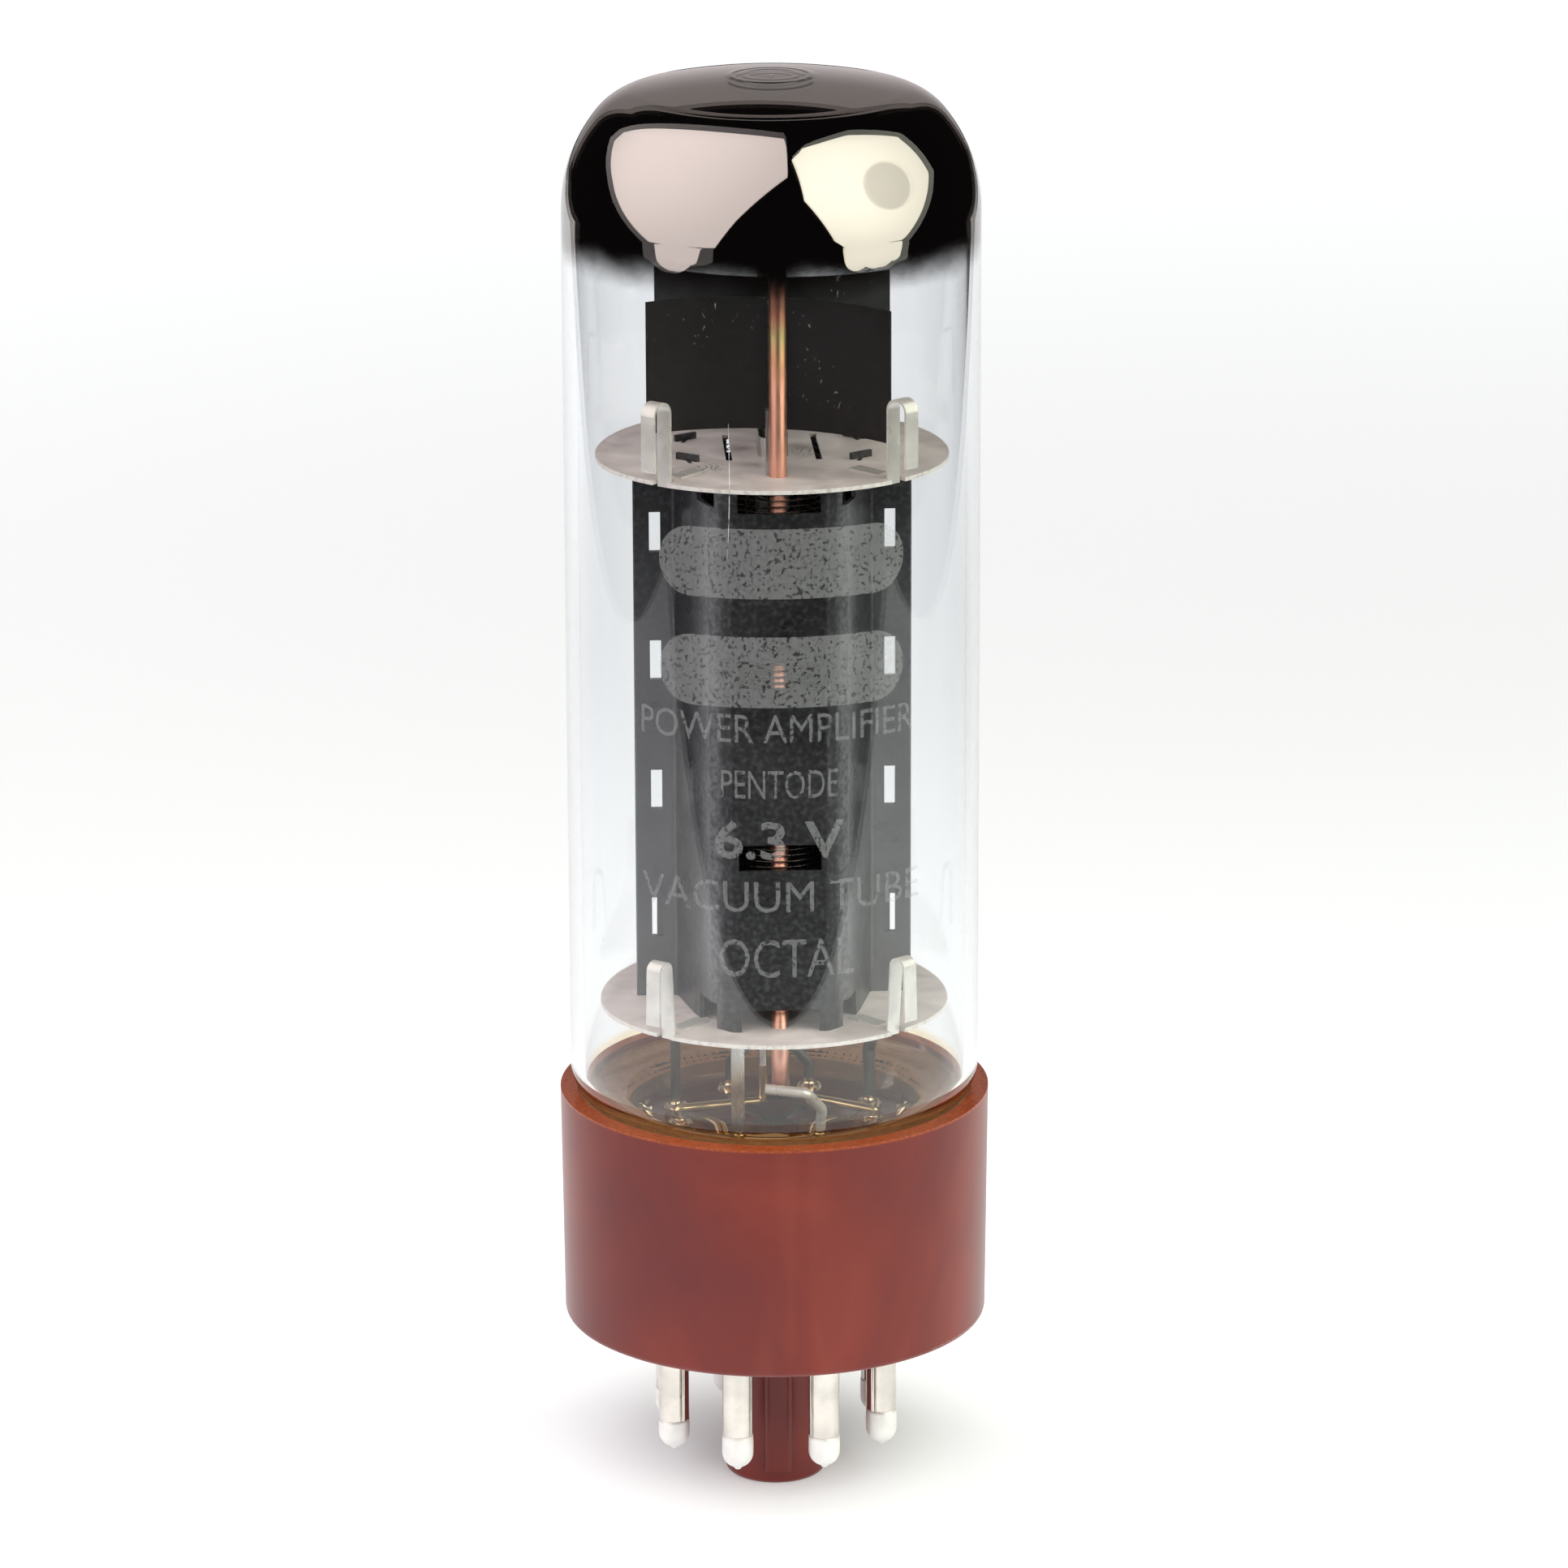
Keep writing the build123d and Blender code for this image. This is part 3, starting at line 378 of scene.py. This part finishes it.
def copper_material():
    """Copper with heat colours that darken towards the top of the rod."""
    s = Shade("copper")
    height = s.math("ADD", s.axis(2), s.range(s.noise(300, 2.0), 0.2, 0.8, -0.001, 0.001))
    heat = s.ramp(
        s.band(height, ROD_HEAT_Z),
        (0.0, (0.80, 0.42, 0.31)),
        (0.35, (0.72, 0.36, 0.25)),
        (0.52, (0.55, 0.30, 0.17)),
        (0.68, (0.42, 0.33, 0.16)),
        (0.82, (0.36, 0.16, 0.11)),
        (1.0, (0.06, 0.045, 0.04)),
    )
    s.set(Base_Color=heat, Metallic=1.0, Roughness=s.range(s.noise(900, 3.0), 0.3, 0.7, 0.34, 0.48))
    s.bump(s.noise(2600, 3.0, stretch=(1, 1, 0.3)), 0.12, 0.03)
    return s.material


def chalk_material(name, colour, roughness):
    """Matt, slightly uneven powder or cement."""
    s = Shade(name)
    shade = s.mix(s.range(s.noise(1200, 4.0), 0.3, 0.7), [c * 0.75 for c in colour], colour)
    s.set(Base_Color=shade, Roughness=roughness)
    s.bump(s.noise(2400), 0.3, 0.04)
    return s.material


def solder_material():
    """Bright tin with a dull skin."""
    s = Shade("solder")
    tone = s.ramp(s.noise(700, 3.0), (0.3, (0.80, 0.80, 0.79)), (0.7, (0.93, 0.93, 0.92)))
    s.set(Base_Color=tone, Metallic=0.35, Roughness=s.range(s.noise(900), 0.3, 0.7, 0.3, 0.5))
    s.bump(s.noise(1300, 2.0), 0.3, 0.08)
    return s.material


def ink_material():
    """Thin grey print that breaks up into specks."""
    s = Shade("glass_print")
    speckle = s.range(s.noise(3600, 4.0), 0.37, 0.46, 0.05, 0.32)
    s.set(Base_Color=(0.38, 0.405, 0.42, 1), Roughness=s.range(s.noise(900), 0.3, 0.7, 0.6, 0.8))
    s.cover(speckle)
    return s.material


def scratch_material():
    """Pale broken line."""
    s = Shade("scratch")
    s.set(Base_Color=(0.75, 0.80, 0.88, 1), Roughness=s.range(s.noise(900), 0.3, 0.7, 0.3, 0.5))
    s.cover(s.range(s.noise(1800, 2.0), 0.3, 0.6, 0.15, 0.8))
    return s.material


# Geometry


def add_piece(name, vertices, faces, material, smooth=True):
    """Mesh in millimetres that belongs to the tube."""
    mesh = bpy.data.meshes.new(name)
    mesh.from_pydata([Vector(v) * MM for v in vertices], [], faces)
    if smooth:
        mesh.shade_smooth()
    mesh.materials.append(material)
    piece = bpy.data.objects.new(name, mesh)
    bpy.context.scene.collection.objects.link(piece)
    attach(piece, "root")
    return piece


def lathe(profile, segments, centre=(0.0, 0.0)):
    """Closed profile of (radius, z) turned about a vertical line."""
    vertices, faces = [], []
    rows = len(profile)
    for i in range(segments):
        a = 2 * math.pi * i / segments
        for radius, z in profile:
            vertices.append((centre[0] + radius * math.cos(a), centre[1] + radius * math.sin(a), z))
    for i in range(segments):
        j = (i + 1) % segments
        for k in range(rows):
            n = (k + 1) % rows
            faces.append((i * rows + k, j * rows + k, j * rows + n, i * rows + n))
    return vertices, faces


def merged(parts):
    """Several (vertices, faces) pairs as one mesh."""
    vertices, faces = [], []
    for some_vertices, some_faces in parts:
        base = len(vertices)
        vertices += some_vertices
        faces += [tuple(base + v for v in face) for face in some_faces]
    return vertices, faces


def pin_place(index, circle_radius):
    """Centre of a pin, or its stem wire, on a circle; the first and last are either side of the front."""
    a = math.radians(-90 + 360 / PIN_COUNT * (index + 0.5))
    return circle_radius * math.cos(a), circle_radius * math.sin(a)


def dome_profile(inset, low_z, steps=48):
    """Dome from low_z up to the axis as (radius, z), moved inwards by inset."""
    skirt_radius, skirt_angle = SKIRT[0], math.radians(SKIRT[1])
    shoulder_x = BULB_RADIUS - skirt_radius + (skirt_radius - SHOULDER_RADIUS) * math.cos(skirt_angle)
    crown_angle = math.acos(shoulder_x / (CROWN_RADIUS - SHOULDER_RADIUS))
    crown_z = CROWN_Z - CROWN_RADIUS
    shoulder_z = crown_z + (CROWN_RADIUS - SHOULDER_RADIUS) * math.sin(crown_angle)
    skirt_z = shoulder_z - (skirt_radius - SHOULDER_RADIUS) * math.sin(skirt_angle)
    points = [(BULB_RADIUS - inset, low_z + (skirt_z - low_z) * i / steps) for i in range(steps)]
    arcs = (
        (BULB_RADIUS - skirt_radius, skirt_z, skirt_radius, 0, skirt_angle),
        (shoulder_x, shoulder_z, SHOULDER_RADIUS, skirt_angle, crown_angle),
        (0, crown_z, CROWN_RADIUS, crown_angle, math.pi / 2),
    )
    for x, z, radius, start, end in arcs:
        for i in range(steps):
            a = start + (end - start) * i / steps
            points.append((x + (radius - inset) * math.cos(a), z + (radius - inset) * math.sin(a)))
    points.append((ON_AXIS, CROWN_Z - inset))
    return points


def mould_ring(radius):
    """Height of the faint double ring that the mould leaves on the crown."""
    rise = 0.0
    for middle, width, height in MOULD_RINGS:
        rise += height * math.exp(-(((radius - middle) / width) ** 2))
    return rise


def foot_arc(inset, steps=16):
    """Turned-in foot from the stem's edge up to the straight wall."""
    points = []
    for i in range(steps):
        a = math.radians(-90 + 90 * i / steps)
        reach = FOOT_RADIUS - inset
        points.append((BULB_RADIUS - FOOT_RADIUS + reach * math.cos(a), FOOT_Z + reach * math.sin(a)))
    return points


def stem_profile():
    """Top of the stem button, then its lower side and the sealed exhaust tube."""
    top = [
        (EXHAUST_BORE, STEM_TOP_Z),
        (9.7, STEM_TOP_Z),
        (10.3, STEM_TOP_Z + 0.25),
        (STEM_SEAM_RADIUS, STEM_TOP_Z + 1.6),
    ]
    low = [
        (STEM_SEAM_RADIUS, STEM_LOW_Z + 2.0),
        (10.4, STEM_LOW_Z + 0.2),
        (10.0, STEM_LOW_Z),
        (EXHAUST_RADIUS + 0.2, STEM_LOW_Z),
        (EXHAUST_RADIUS, STEM_LOW_Z - 0.2),
    ]
    tube = [
        (EXHAUST_RADIUS, 9.5),
        (1.6, 7.6),
        (0.7, 6.0),
        (ON_AXIS, 5.5),
        (ON_AXIS, 7.5),
        (1.0, 9.0),
        (EXHAUST_BORE, 9.9),
    ]
    return top, low + tube


def build_envelope(material):
    """Bulb, stem button and exhaust tube, which are fused into one piece of glass."""
    outer = foot_arc(0) + dome_profile(0, FOOT_Z)
    inner = foot_arc(GLASS_WALL) + dome_profile(GLASS_WALL, FOOT_Z)
    outer = [(r, z + mould_ring(r)) if z > MOULD_RING_LOW_Z else (r, z) for r, z in outer]
    stem_top, stem_low = stem_profile()
    profile = stem_top + inner + outer[::-1] + stem_low
    vertices, faces = lathe(profile[::-1], GLASS_SIDES)
    piece = add_piece("envelope", vertices, faces, material)
    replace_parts(piece, "glass_bulb", "glass_stem", "exhaust_tube")


def build_stem_beads(material):
    """Bead of glass drawn up round each stem wire."""
    low = STEM_TOP_Z + 0.02
    profile = [(BEAD_BORE, low), (1.0, low), (0.96, low + 0.22), (0.78, low + 0.48), (BEAD_BORE, low + 0.62)]
    beads = [lathe(profile, SMALL_SIDES, pin_place(i, STEM_WIRE_CIRCLE)) for i in range(PIN_COUNT)]
    vertices, faces = merged(beads)
    add_piece("stem_beads", vertices, faces, material)


def build_flash(material):
    """Film set into the inner face of the dome, so that no gap shows between it and the glass."""
    low_z = FLASH_CLEAR_Z - FLASH_MARGIN
    outer = dome_profile(GLASS_WALL - FLASH_SUNK, low_z)
    inner = dome_profile(GLASS_WALL + FLASH_PROUD, low_z)
    vertices, faces = lathe(outer + inner[::-1], GLASS_SIDES)
    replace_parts(add_piece("getter_film", vertices, faces, material), "getter_flash")


def oval_point(share, half_width, half_depth, end_arc):
    """Point at a share of one turn on the four-arc oval, starting at +X."""
    side_arc = (half_width**2 + (half_depth - end_arc) ** 2 - end_arc**2) / (2 * (half_width - end_arc))
    offset, end_y = side_arc - half_width, half_depth - end_arc
    turn = math.atan2(end_y, offset)
    quarter = int(share * 4) % 4
    along = share * 4 - int(share * 4)
    if quarter in (1, 3):
        along = 1 - along
    side_length, end_length = side_arc * turn, end_arc * (math.pi / 2 - turn)
    travelled = along * (side_length + end_length)
    if travelled < side_length:
        a = travelled / side_arc
        x, y = -offset + side_arc * math.cos(a), side_arc * math.sin(a)
    else:
        a = turn + (travelled - side_length) / end_arc
        x, y = end_arc * math.cos(a), end_y + end_arc * math.sin(a)
    return (x if quarter in (0, 3) else -x), (y if quarter in (0, 1) else -y)


def build_winding(name, node, oval, pitch, material):
    """Fine wire helix of oval turns."""
    steps = 56
    turns = (WINDING_Z[1] - WINDING_Z[0]) / pitch
    count = int(turns * steps)
    rings, faces = [], []
    for i in range(count + 1):
        x, y = oval_point((i / steps) % 1.0, *oval)
        z = WINDING_Z[0] + pitch * i / steps
        length = math.hypot(x, y)
        out = (x / length * WIRE_RADIUS, y / length * WIRE_RADIUS)
        rings += [
            (x + out[0], y + out[1], z),
            (x, y, z + WIRE_RADIUS),
            (x - out[0], y - out[1], z),
            (x, y, z - WIRE_RADIUS),
        ]
    for i in range(count):
        for k in range(4):
            n = (k + 1) % 4
            faces.append((4 * i + k, 4 * i + 4 + k, 4 * i + 4 + n, 4 * i + n))
    faces += [(0, 1, 2, 3), (4 * count + 3, 4 * count + 2, 4 * count + 1, 4 * count)]
    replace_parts(add_piece(name, rings, faces, material), node)


def build_copper_rods(material):
    """Rods with a groove under every turn of the winding."""
    chamfer = 0.1
    groove = ((0.0, 0.02), (0.15, 0.13), (0.4, 0.13), (0.55, 0.0), (0.8, 0.0))
    profile = [(ON_AXIS, ROD_Z[0]), (ROD_RADIUS - chamfer, ROD_Z[0]), (ROD_RADIUS, ROD_Z[0] + 0.12)]
    z = WINDING_Z[0]
    while z < WINDING_Z[1]:
        profile += [(ROD_RADIUS - depth, z + share * SUPPRESSOR_PITCH) for share, depth in groove]
        z += SUPPRESSOR_PITCH
    profile += [(ROD_RADIUS, ROD_Z[1] - chamfer), (ROD_RADIUS - chamfer, ROD_Z[1]), (ON_AXIS, ROD_Z[1])]
    rods = [lathe(profile, ROD_SIDES, (0, side * ROD_Y)) for side in (-1, 1)]
    vertices, faces = merged(rods)
    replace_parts(add_piece("copper_rods", vertices, faces, material), "suppressor_grid_rods")


def build_weld_tab(material):
    """Strip folded slantwise over the top of the front rod, where the getter strap is welded."""
    line = [
        (-0.42, -9.62, 99.15),
        (0.1, -9.66, 99.75),
        (0.62, -9.6, 100.35),
        (0.98, -9.3, 100.7),
        (1.08, -8.8, 100.6),
    ]
    across, thick = Vector((0.42, 0, -0.34)), Vector((0.02, -0.12, 0))
    vertices, faces = [], []
    for point in line:
        centre = Vector(point)
        for sideways, outward in ((-1, 0), (1, 0), (1, 1), (-1, 1)):
            vertices.append(centre + across * sideways + thick * outward)
    for row in range(0, 4 * len(line) - 4, 4):
        for k in range(4):
            n = (k + 1) % 4
            faces.append((row + k, row + n, row + 4 + n, row + 4 + k))
    end = 4 * len(line) - 4
    faces += [(3, 2, 1, 0), (end, end + 1, end + 2, end + 3)]
    add_piece("weld_tab", vertices, faces, material, smooth=False)


def build_solder(material):
    """Dipped pin tips that end in a small frozen drop."""
    tips = []
    for i in range(PIN_COUNT):
        top = random.uniform(*SOLDER_TOP_Z)
        nub = random.uniform(0.2, 0.34)
        profile = [
            (ON_AXIS, PIN_TIP_Z),
            (nub * 0.7, PIN_TIP_Z + 0.03),
            (nub, PIN_TIP_Z + 0.17),
            (nub + 0.12, PIN_TIP_Z + 0.33),
        ]
        for step in range(9):
            b = math.radians(-62 + 62 * step / 8)
            profile.append((SOLDER_RADIUS * math.cos(b), SOLDER_CENTRE_Z + 1.2 * math.sin(b)))
        profile += [(1.215, 5.0), (1.195, top - 0.3), (1.182, top), (1.0, top), (ON_AXIS, 5.0)]
        tips.append(lathe(profile, SMALL_SIDES, pin_place(i, PIN_CIRCLE / 2)))
    vertices, faces = merged(tips)
    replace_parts(add_piece("solder_tips", vertices, faces, material), "pin_solder")


def wrap(x, z, lift=BAR_LIFT):
    """Point on the outside of the bulb, at a distance x around it from the front."""
    radius = BULB_RADIUS + lift
    a = math.radians(-90) + x / BULB_RADIUS
    return (radius * math.cos(a), radius * math.sin(a), z)


def printed_bar(half_width, low, high):
    """Bar with round ends, bent around the bulb."""
    steps = 60
    half_height = (high - low) / 2
    middle, straight = (low + high) / 2, half_width - half_height
    columns, faces = [], []
    for i in range(steps + 1):
        u = -half_width * math.cos(math.pi * i / steps)
        over = max(0.0, abs(u) - straight)
        reach = math.sqrt(max(0.0, half_height**2 - over**2)) + 0.002
        columns += [wrap(u, middle - reach), wrap(u, middle + reach)]
    for i in range(steps):
        faces.append((2 * i, 2 * i + 2, 2 * i + 3, 2 * i + 1))
    return columns, faces


def printed_text(words, width, height, low, x, weight=0.0):
    """Letters bent around the bulb, set to a width and height in millimetres."""
    curve = bpy.data.curves.new("print", "FONT")
    curve.body = words
    curve.resolution_u = 3
    curve.offset = weight
    text = bpy.data.objects.new("print", curve)
    bpy.context.scene.collection.objects.link(text)
    mesh = text.to_mesh()
    points = [v.co.copy() for v in mesh.vertices]
    faces = [tuple(p.vertices) for p in mesh.polygons]
    text.to_mesh_clear()
    bpy.data.objects.remove(text)
    left, right = min(p.x for p in points), max(p.x for p in points)
    base, top = min(p.y for p in points), max(p.y for p in points)
    scale_x, scale_y = width / (right - left), height / (top - base)
    middle = (left + right) / 2
    placed = []
    for p in points:
        placed.append(wrap(x + (p.x - middle) * scale_x, low + (p.y - base) * scale_y, PRINT_LIFT))
    return placed, faces


def build_print(material):
    """Plain generic marking on the front of the glass."""
    bars = [printed_bar(BAR_HALF_WIDTH, 74.4, 79.7), printed_bar(BAR_HALF_WIDTH, 66.1, 71.5)]
    lines = [
        printed_text("POWER AMPLIFIER", 21.8, 2.2, 63.4, -0.4),
        printed_text("PENTODE", 8.8, 2.2, 59.1, -0.3),
        printed_text("6.3 V", 9.8, 3.0, 54.4, -0.3, weight=0.02),
        printed_text("VACUUM TUBE", 22.4, 2.4, 50.3, -0.1),
        printed_text("OCTAL", 10.2, 3.0, 45.2, 0.2),
    ]
    vertices, faces = merged(bars + lines)
    add_piece("glass_print", vertices, faces, material, smooth=False)


def build_scratch(material):
    """Fine upright scratch on the front of the glass."""
    steps = 12
    points, faces = [], []
    for i in range(steps + 1):
        share = i / steps
        x = -4.0 + 0.25 * math.sin(2.2 * share) - 0.35 * share
        half = 0.03 * math.sin(math.pi * (0.1 + 0.85 * share))
        z = SCRATCH_TOP_Z - SCRATCH_LENGTH * share
        points += [wrap(x - half, z), wrap(x + half, z)]
    for i in range(steps):
        faces.append((2 * i, 2 * i + 2, 2 * i + 3, 2 * i + 1))
    add_piece("glass_scratch", points, faces, material, smooth=False)


# Studio


def glow_material(name, colour, strength, centre, reach, edge, disc=None):
    """Glow that falls from its strength at a centre to an edge share of it at the reach, in metres.

    The disc (x, y, radius) is an optional darker round patch.
    """
    s = Shade(name)
    level = s.range(s.away(s.place, (*centre, 0)), 0.04, reach, strength, strength * edge)
    if disc:
        x, y, radius = disc
        patch = s.range(s.away(s.place, (x, y, 0)), radius * 0.85, radius, 0.66, 1.0)
        level = s.math("MULTIPLY", level, patch)
    glow = s.add("ShaderNodeEmission", {"Color": (*colour, 1), "Strength": level})
    s.surface(glow.outputs[0])
    return s.material


def floor_material():
    """White table with a glow of its own, weaker under the tube as a painted shadow, and dim to either side
    of it.
    """
    s = Shade("table")
    away = s.off_axis()
    # Painted shadow: the glow dips behind the tube's foot and, less deeply, in front of it.
    shadow_core = s.math("MULTIPLY", s.near(0, 12, 3, 20), -0.36)
    shadow_skirt = s.math("MULTIPLY", s.near(0, -5, 4, 24), -0.10)
    middle = s.range(away, 0.03, 0.15, 0.46, 0.32)
    far = s.range(away, 0.15, 0.65, 0.0, 0.50)
    beside = s.range(s.math("ABSOLUTE", s.axis(0)), 0.09, 0.26)
    dim = s.math("MULTIPLY", beside, s.range(s.axis(1), 0.10, 0.30, 0.6, 0.0))
    table = s.mix(dim, (0.80, 0.86, 0.91), (0.0, 0.0, 0.0))
    s.set(Base_Color=table, Roughness=0.55, Specular_IOR_Level=0.2)
    glow = s.math("ADD", s.math("ADD", shadow_core, shadow_skirt), s.math("ADD", middle, far))
    s.set(Emission_Strength=s.math("MULTIPLY", glow, s.math("SUBTRACT", 1.0, dim)))
    s.set(Emission_Color=(0.985, 1, 1.01, 1))
    return s.material


def aim(azimuth, elevation):
    """Direction from the tube: azimuth 0 is towards -Y, positive to +X."""
    a, e = math.radians(azimuth), math.radians(elevation)
    return Vector((math.sin(a) * math.cos(e), -math.cos(a) * math.cos(e), math.sin(e)))


def stage_panel(name, corners, material):
    """One flat face that belongs to the studio."""
    mesh = bpy.data.meshes.new(name)
    mesh.from_pydata(corners, [], [tuple(range(len(corners)))])
    mesh.materials.append(material)
    panel = bpy.data.objects.new(name, mesh)
    bpy.context.scene.collection.objects.link(panel)
    return panel


def build_softbox(name, azimuth, elevation, distance, corners, material):
    """Many-sided lamp that faces the dome and is hidden from the camera."""
    toward = aim(azimuth, elevation)
    right = toward.cross(Vector((0, 0, 1))).normalized()
    up = right.cross(toward)
    axes = Matrix((right, up, right.cross(up))).transposed().to_4x4()
    panel = stage_panel(name, [(x * distance, y * distance, 0) for x, y in corners], material)
    panel.matrix_world = Matrix.Translation(Vector(DOME_CENTRE) + toward * distance) @ axes
    panel.visible_camera = False


def build_table():
    near_y, far_y = TABLE_Y
    corners = [(-TABLE_X, near_y, 0), (TABLE_X, near_y, 0), (TABLE_X, far_y, 0), (-TABLE_X, far_y, 0)]
    stage_panel("table_top", corners, floor_material())


def build_lamps():
    """Two softboxes that the dome mirrors, and a glowing wall behind the tube for its crown."""
    lilac = glow_material("softbox_left", (1.0, 0.90, 0.87), 2.0, (0.18, 0.08), 0.6, 0.72)
    build_softbox("softbox_left_panel", -62, 38, 0.35, LEFT_SOFTBOX, lilac)
    disc = (-0.058, -0.077, 0.10)
    cream = glow_material("softbox_right", (1.0, 0.99, 0.84), 2.75, (0.1, -0.02), 0.42, 0.72, disc)
    build_softbox("softbox_right_panel", 62, 35, 0.32, RIGHT_SOFTBOX, cream)
    wall_centre = (0.05, WALL_Y)
    low = glow_material("back_wall", (1.0, 0.91, 0.91), 0.75, wall_centre, 0.6, 0.4)
    low_edge = [(-WALL_X, 0), (WALL_X, 0), (WALL_X, WALL_SPLIT_Z), (-WALL_X, WALL_SPLIT_Z)]
    high = glow_material("back_wall_top", (1.0, 0.91, 0.88), 2.3, wall_centre, 0.5, 0.15)
    high_edge = low_edge[3:1:-1] + [(WALL_X, 0.72), (0.24, 0.86), (-0.1, 0.78), (-WALL_X, 0.84)]
    for name, edge, material in (("back_wall", low_edge, low), ("back_wall_top", high_edge, high)):
        wall = stage_panel(name, [(x, WALL_Y, z) for x, z in edge], material)
        wall.visible_camera = False


def build_world():
    """Pale where it is seen directly or through glass, nearly black to light that has bounced."""
    world = bpy.data.worlds.new("studio")
    world.use_nodes = True
    tree = world.node_tree
    path = tree.nodes.new("ShaderNodeLightPath")
    bounces = tree.nodes.new("ShaderNodeMath")
    tree.links.new(path.outputs["Glossy Depth"], bounces.inputs[0])
    tree.links.new(path.outputs["Diffuse Depth"], bounces.inputs[1])
    bounced = tree.nodes.new("ShaderNodeMath")
    bounced.operation = "GREATER_THAN"
    bounced.inputs[1].default_value = 0.5
    tree.links.new(bounces.outputs[0], bounced.inputs[0])
    tone = tree.nodes.new("ShaderNodeMix")
    tone.data_type = "RGBA"
    tree.links.new(bounced.outputs[0], tone.inputs[0])
    tone.inputs[6].default_value = (0.90, 0.91, 0.92, 1)
    tone.inputs[7].default_value = (0.006, 0.005, 0.005, 1)
    tree.links.new(tone.outputs[2], tree.nodes["Background"].inputs["Color"])
    bpy.context.scene.world = world
    bpy.context.scene.view_settings.view_transform = "Standard"


def build_camera():
    camera = bpy.data.cameras.new("camera")
    camera.lens = CAMERA_LENS
    camera.sensor_width = 36.0
    camera.clip_start = 0.01
    holder = bpy.data.objects.new("camera", camera)
    turn = Vector(CAMERA_LOOK).to_track_quat("-Z", "Y").to_matrix().to_4x4()
    roll = Matrix.Rotation(math.radians(CAMERA_ROLL), 4, "Z")
    holder.matrix_world = Matrix.Translation(CAMERA_PLACE) @ turn @ roll
    bpy.context.scene.collection.objects.link(holder)
    bpy.context.scene.camera = holder


# Assembly


def dress(material, *nodes):
    """Gives CAD nodes a material."""
    for node in nodes:
        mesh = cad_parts[node].data
        mesh.materials.clear()
        mesh.materials.append(material)


def dress_nodes(getter_metal):
    """Materials of the CAD nodes that are shown as they are."""
    nickel = metal_material("nickel", (0.66, 0.65, 0.62), 0.28)
    bright = metal_material("spring_nickel", (0.86, 0.84, 0.78), 0.28, EVEN_GRAIN, 0.45)
    pins = metal_material("pin_nickel", (0.74, 0.70, 0.65), 0.08)
    gold = metal_material("warm_wire", (0.84, 0.63, 0.33), 0.2)
    dark_lead = metal_material("dark_lead", (0.20, 0.19, 0.19), 0.35)
    dress(phenolic_material(), "base_shell")
    dress(chalk_material("cement", (0.34, 0.17, 0.07), 0.6), "base_cement")
    dress(pins, *(f"base_pin_{i + 1}" for i in range(PIN_COUNT)))
    dress(mica_material(), "mica_upper", "mica_lower")
    dress(bright, "spring_clips_upper", "spring_clips_lower", "lead_suppressor_grid")
    dress(carbon_material(), "anode_front", "anode_back")
    dress(fin_material(), "radiator_front", "radiator_back")
    dress(chalk_material("oxide", (0.86, 0.86, 0.84), 0.7), "cathode_coating", "heater")
    dress(nickel, "screen_grid_rods", "control_grid_rods", "suppressor_strap")
    dress(nickel, "cathode_sleeve", "lead_cathode")
    dress(gold, "stem_wires", "lead_heater_2", "lead_heater_7")
    dress(dark_lead, "lead_anode", "lead_screen_grid", "lead_control_grid", "lead_support")
    dress(getter_metal, "getter_ring_front", "getter_ring_back", "getter_strap_front", "getter_strap_back")


def build_pieces(getter_metal):
    """Pieces that replace CAD nodes or add to them."""
    glass = glass_material()
    wire = metal_material("grid_wire", (0.13, 0.11, 0.09), 0.4)
    build_envelope(glass)
    build_stem_beads(glass)
    build_flash(flash_material())
    build_scratch(scratch_material())
    build_winding("winding_suppressor", "suppressor_grid_winding", SUPPRESSOR_OVAL, SUPPRESSOR_PITCH, wire)
    build_winding("winding_screen", "screen_grid_winding", SCREEN_OVAL, SCREEN_PITCH, wire)
    build_winding("winding_control", "control_grid_winding", CONTROL_OVAL, CONTROL_PITCH, wire)
    build_copper_rods(copper_material())
    build_weld_tab(getter_metal)
    build_solder(solder_material())
    build_print(ink_material())


getter_metal = metal_material("getter_metal", (0.30, 0.28, 0.27), 0.4)
dress_nodes(getter_metal)
build_pieces(getter_metal)
build_table()
build_lamps()
build_world()
build_camera()
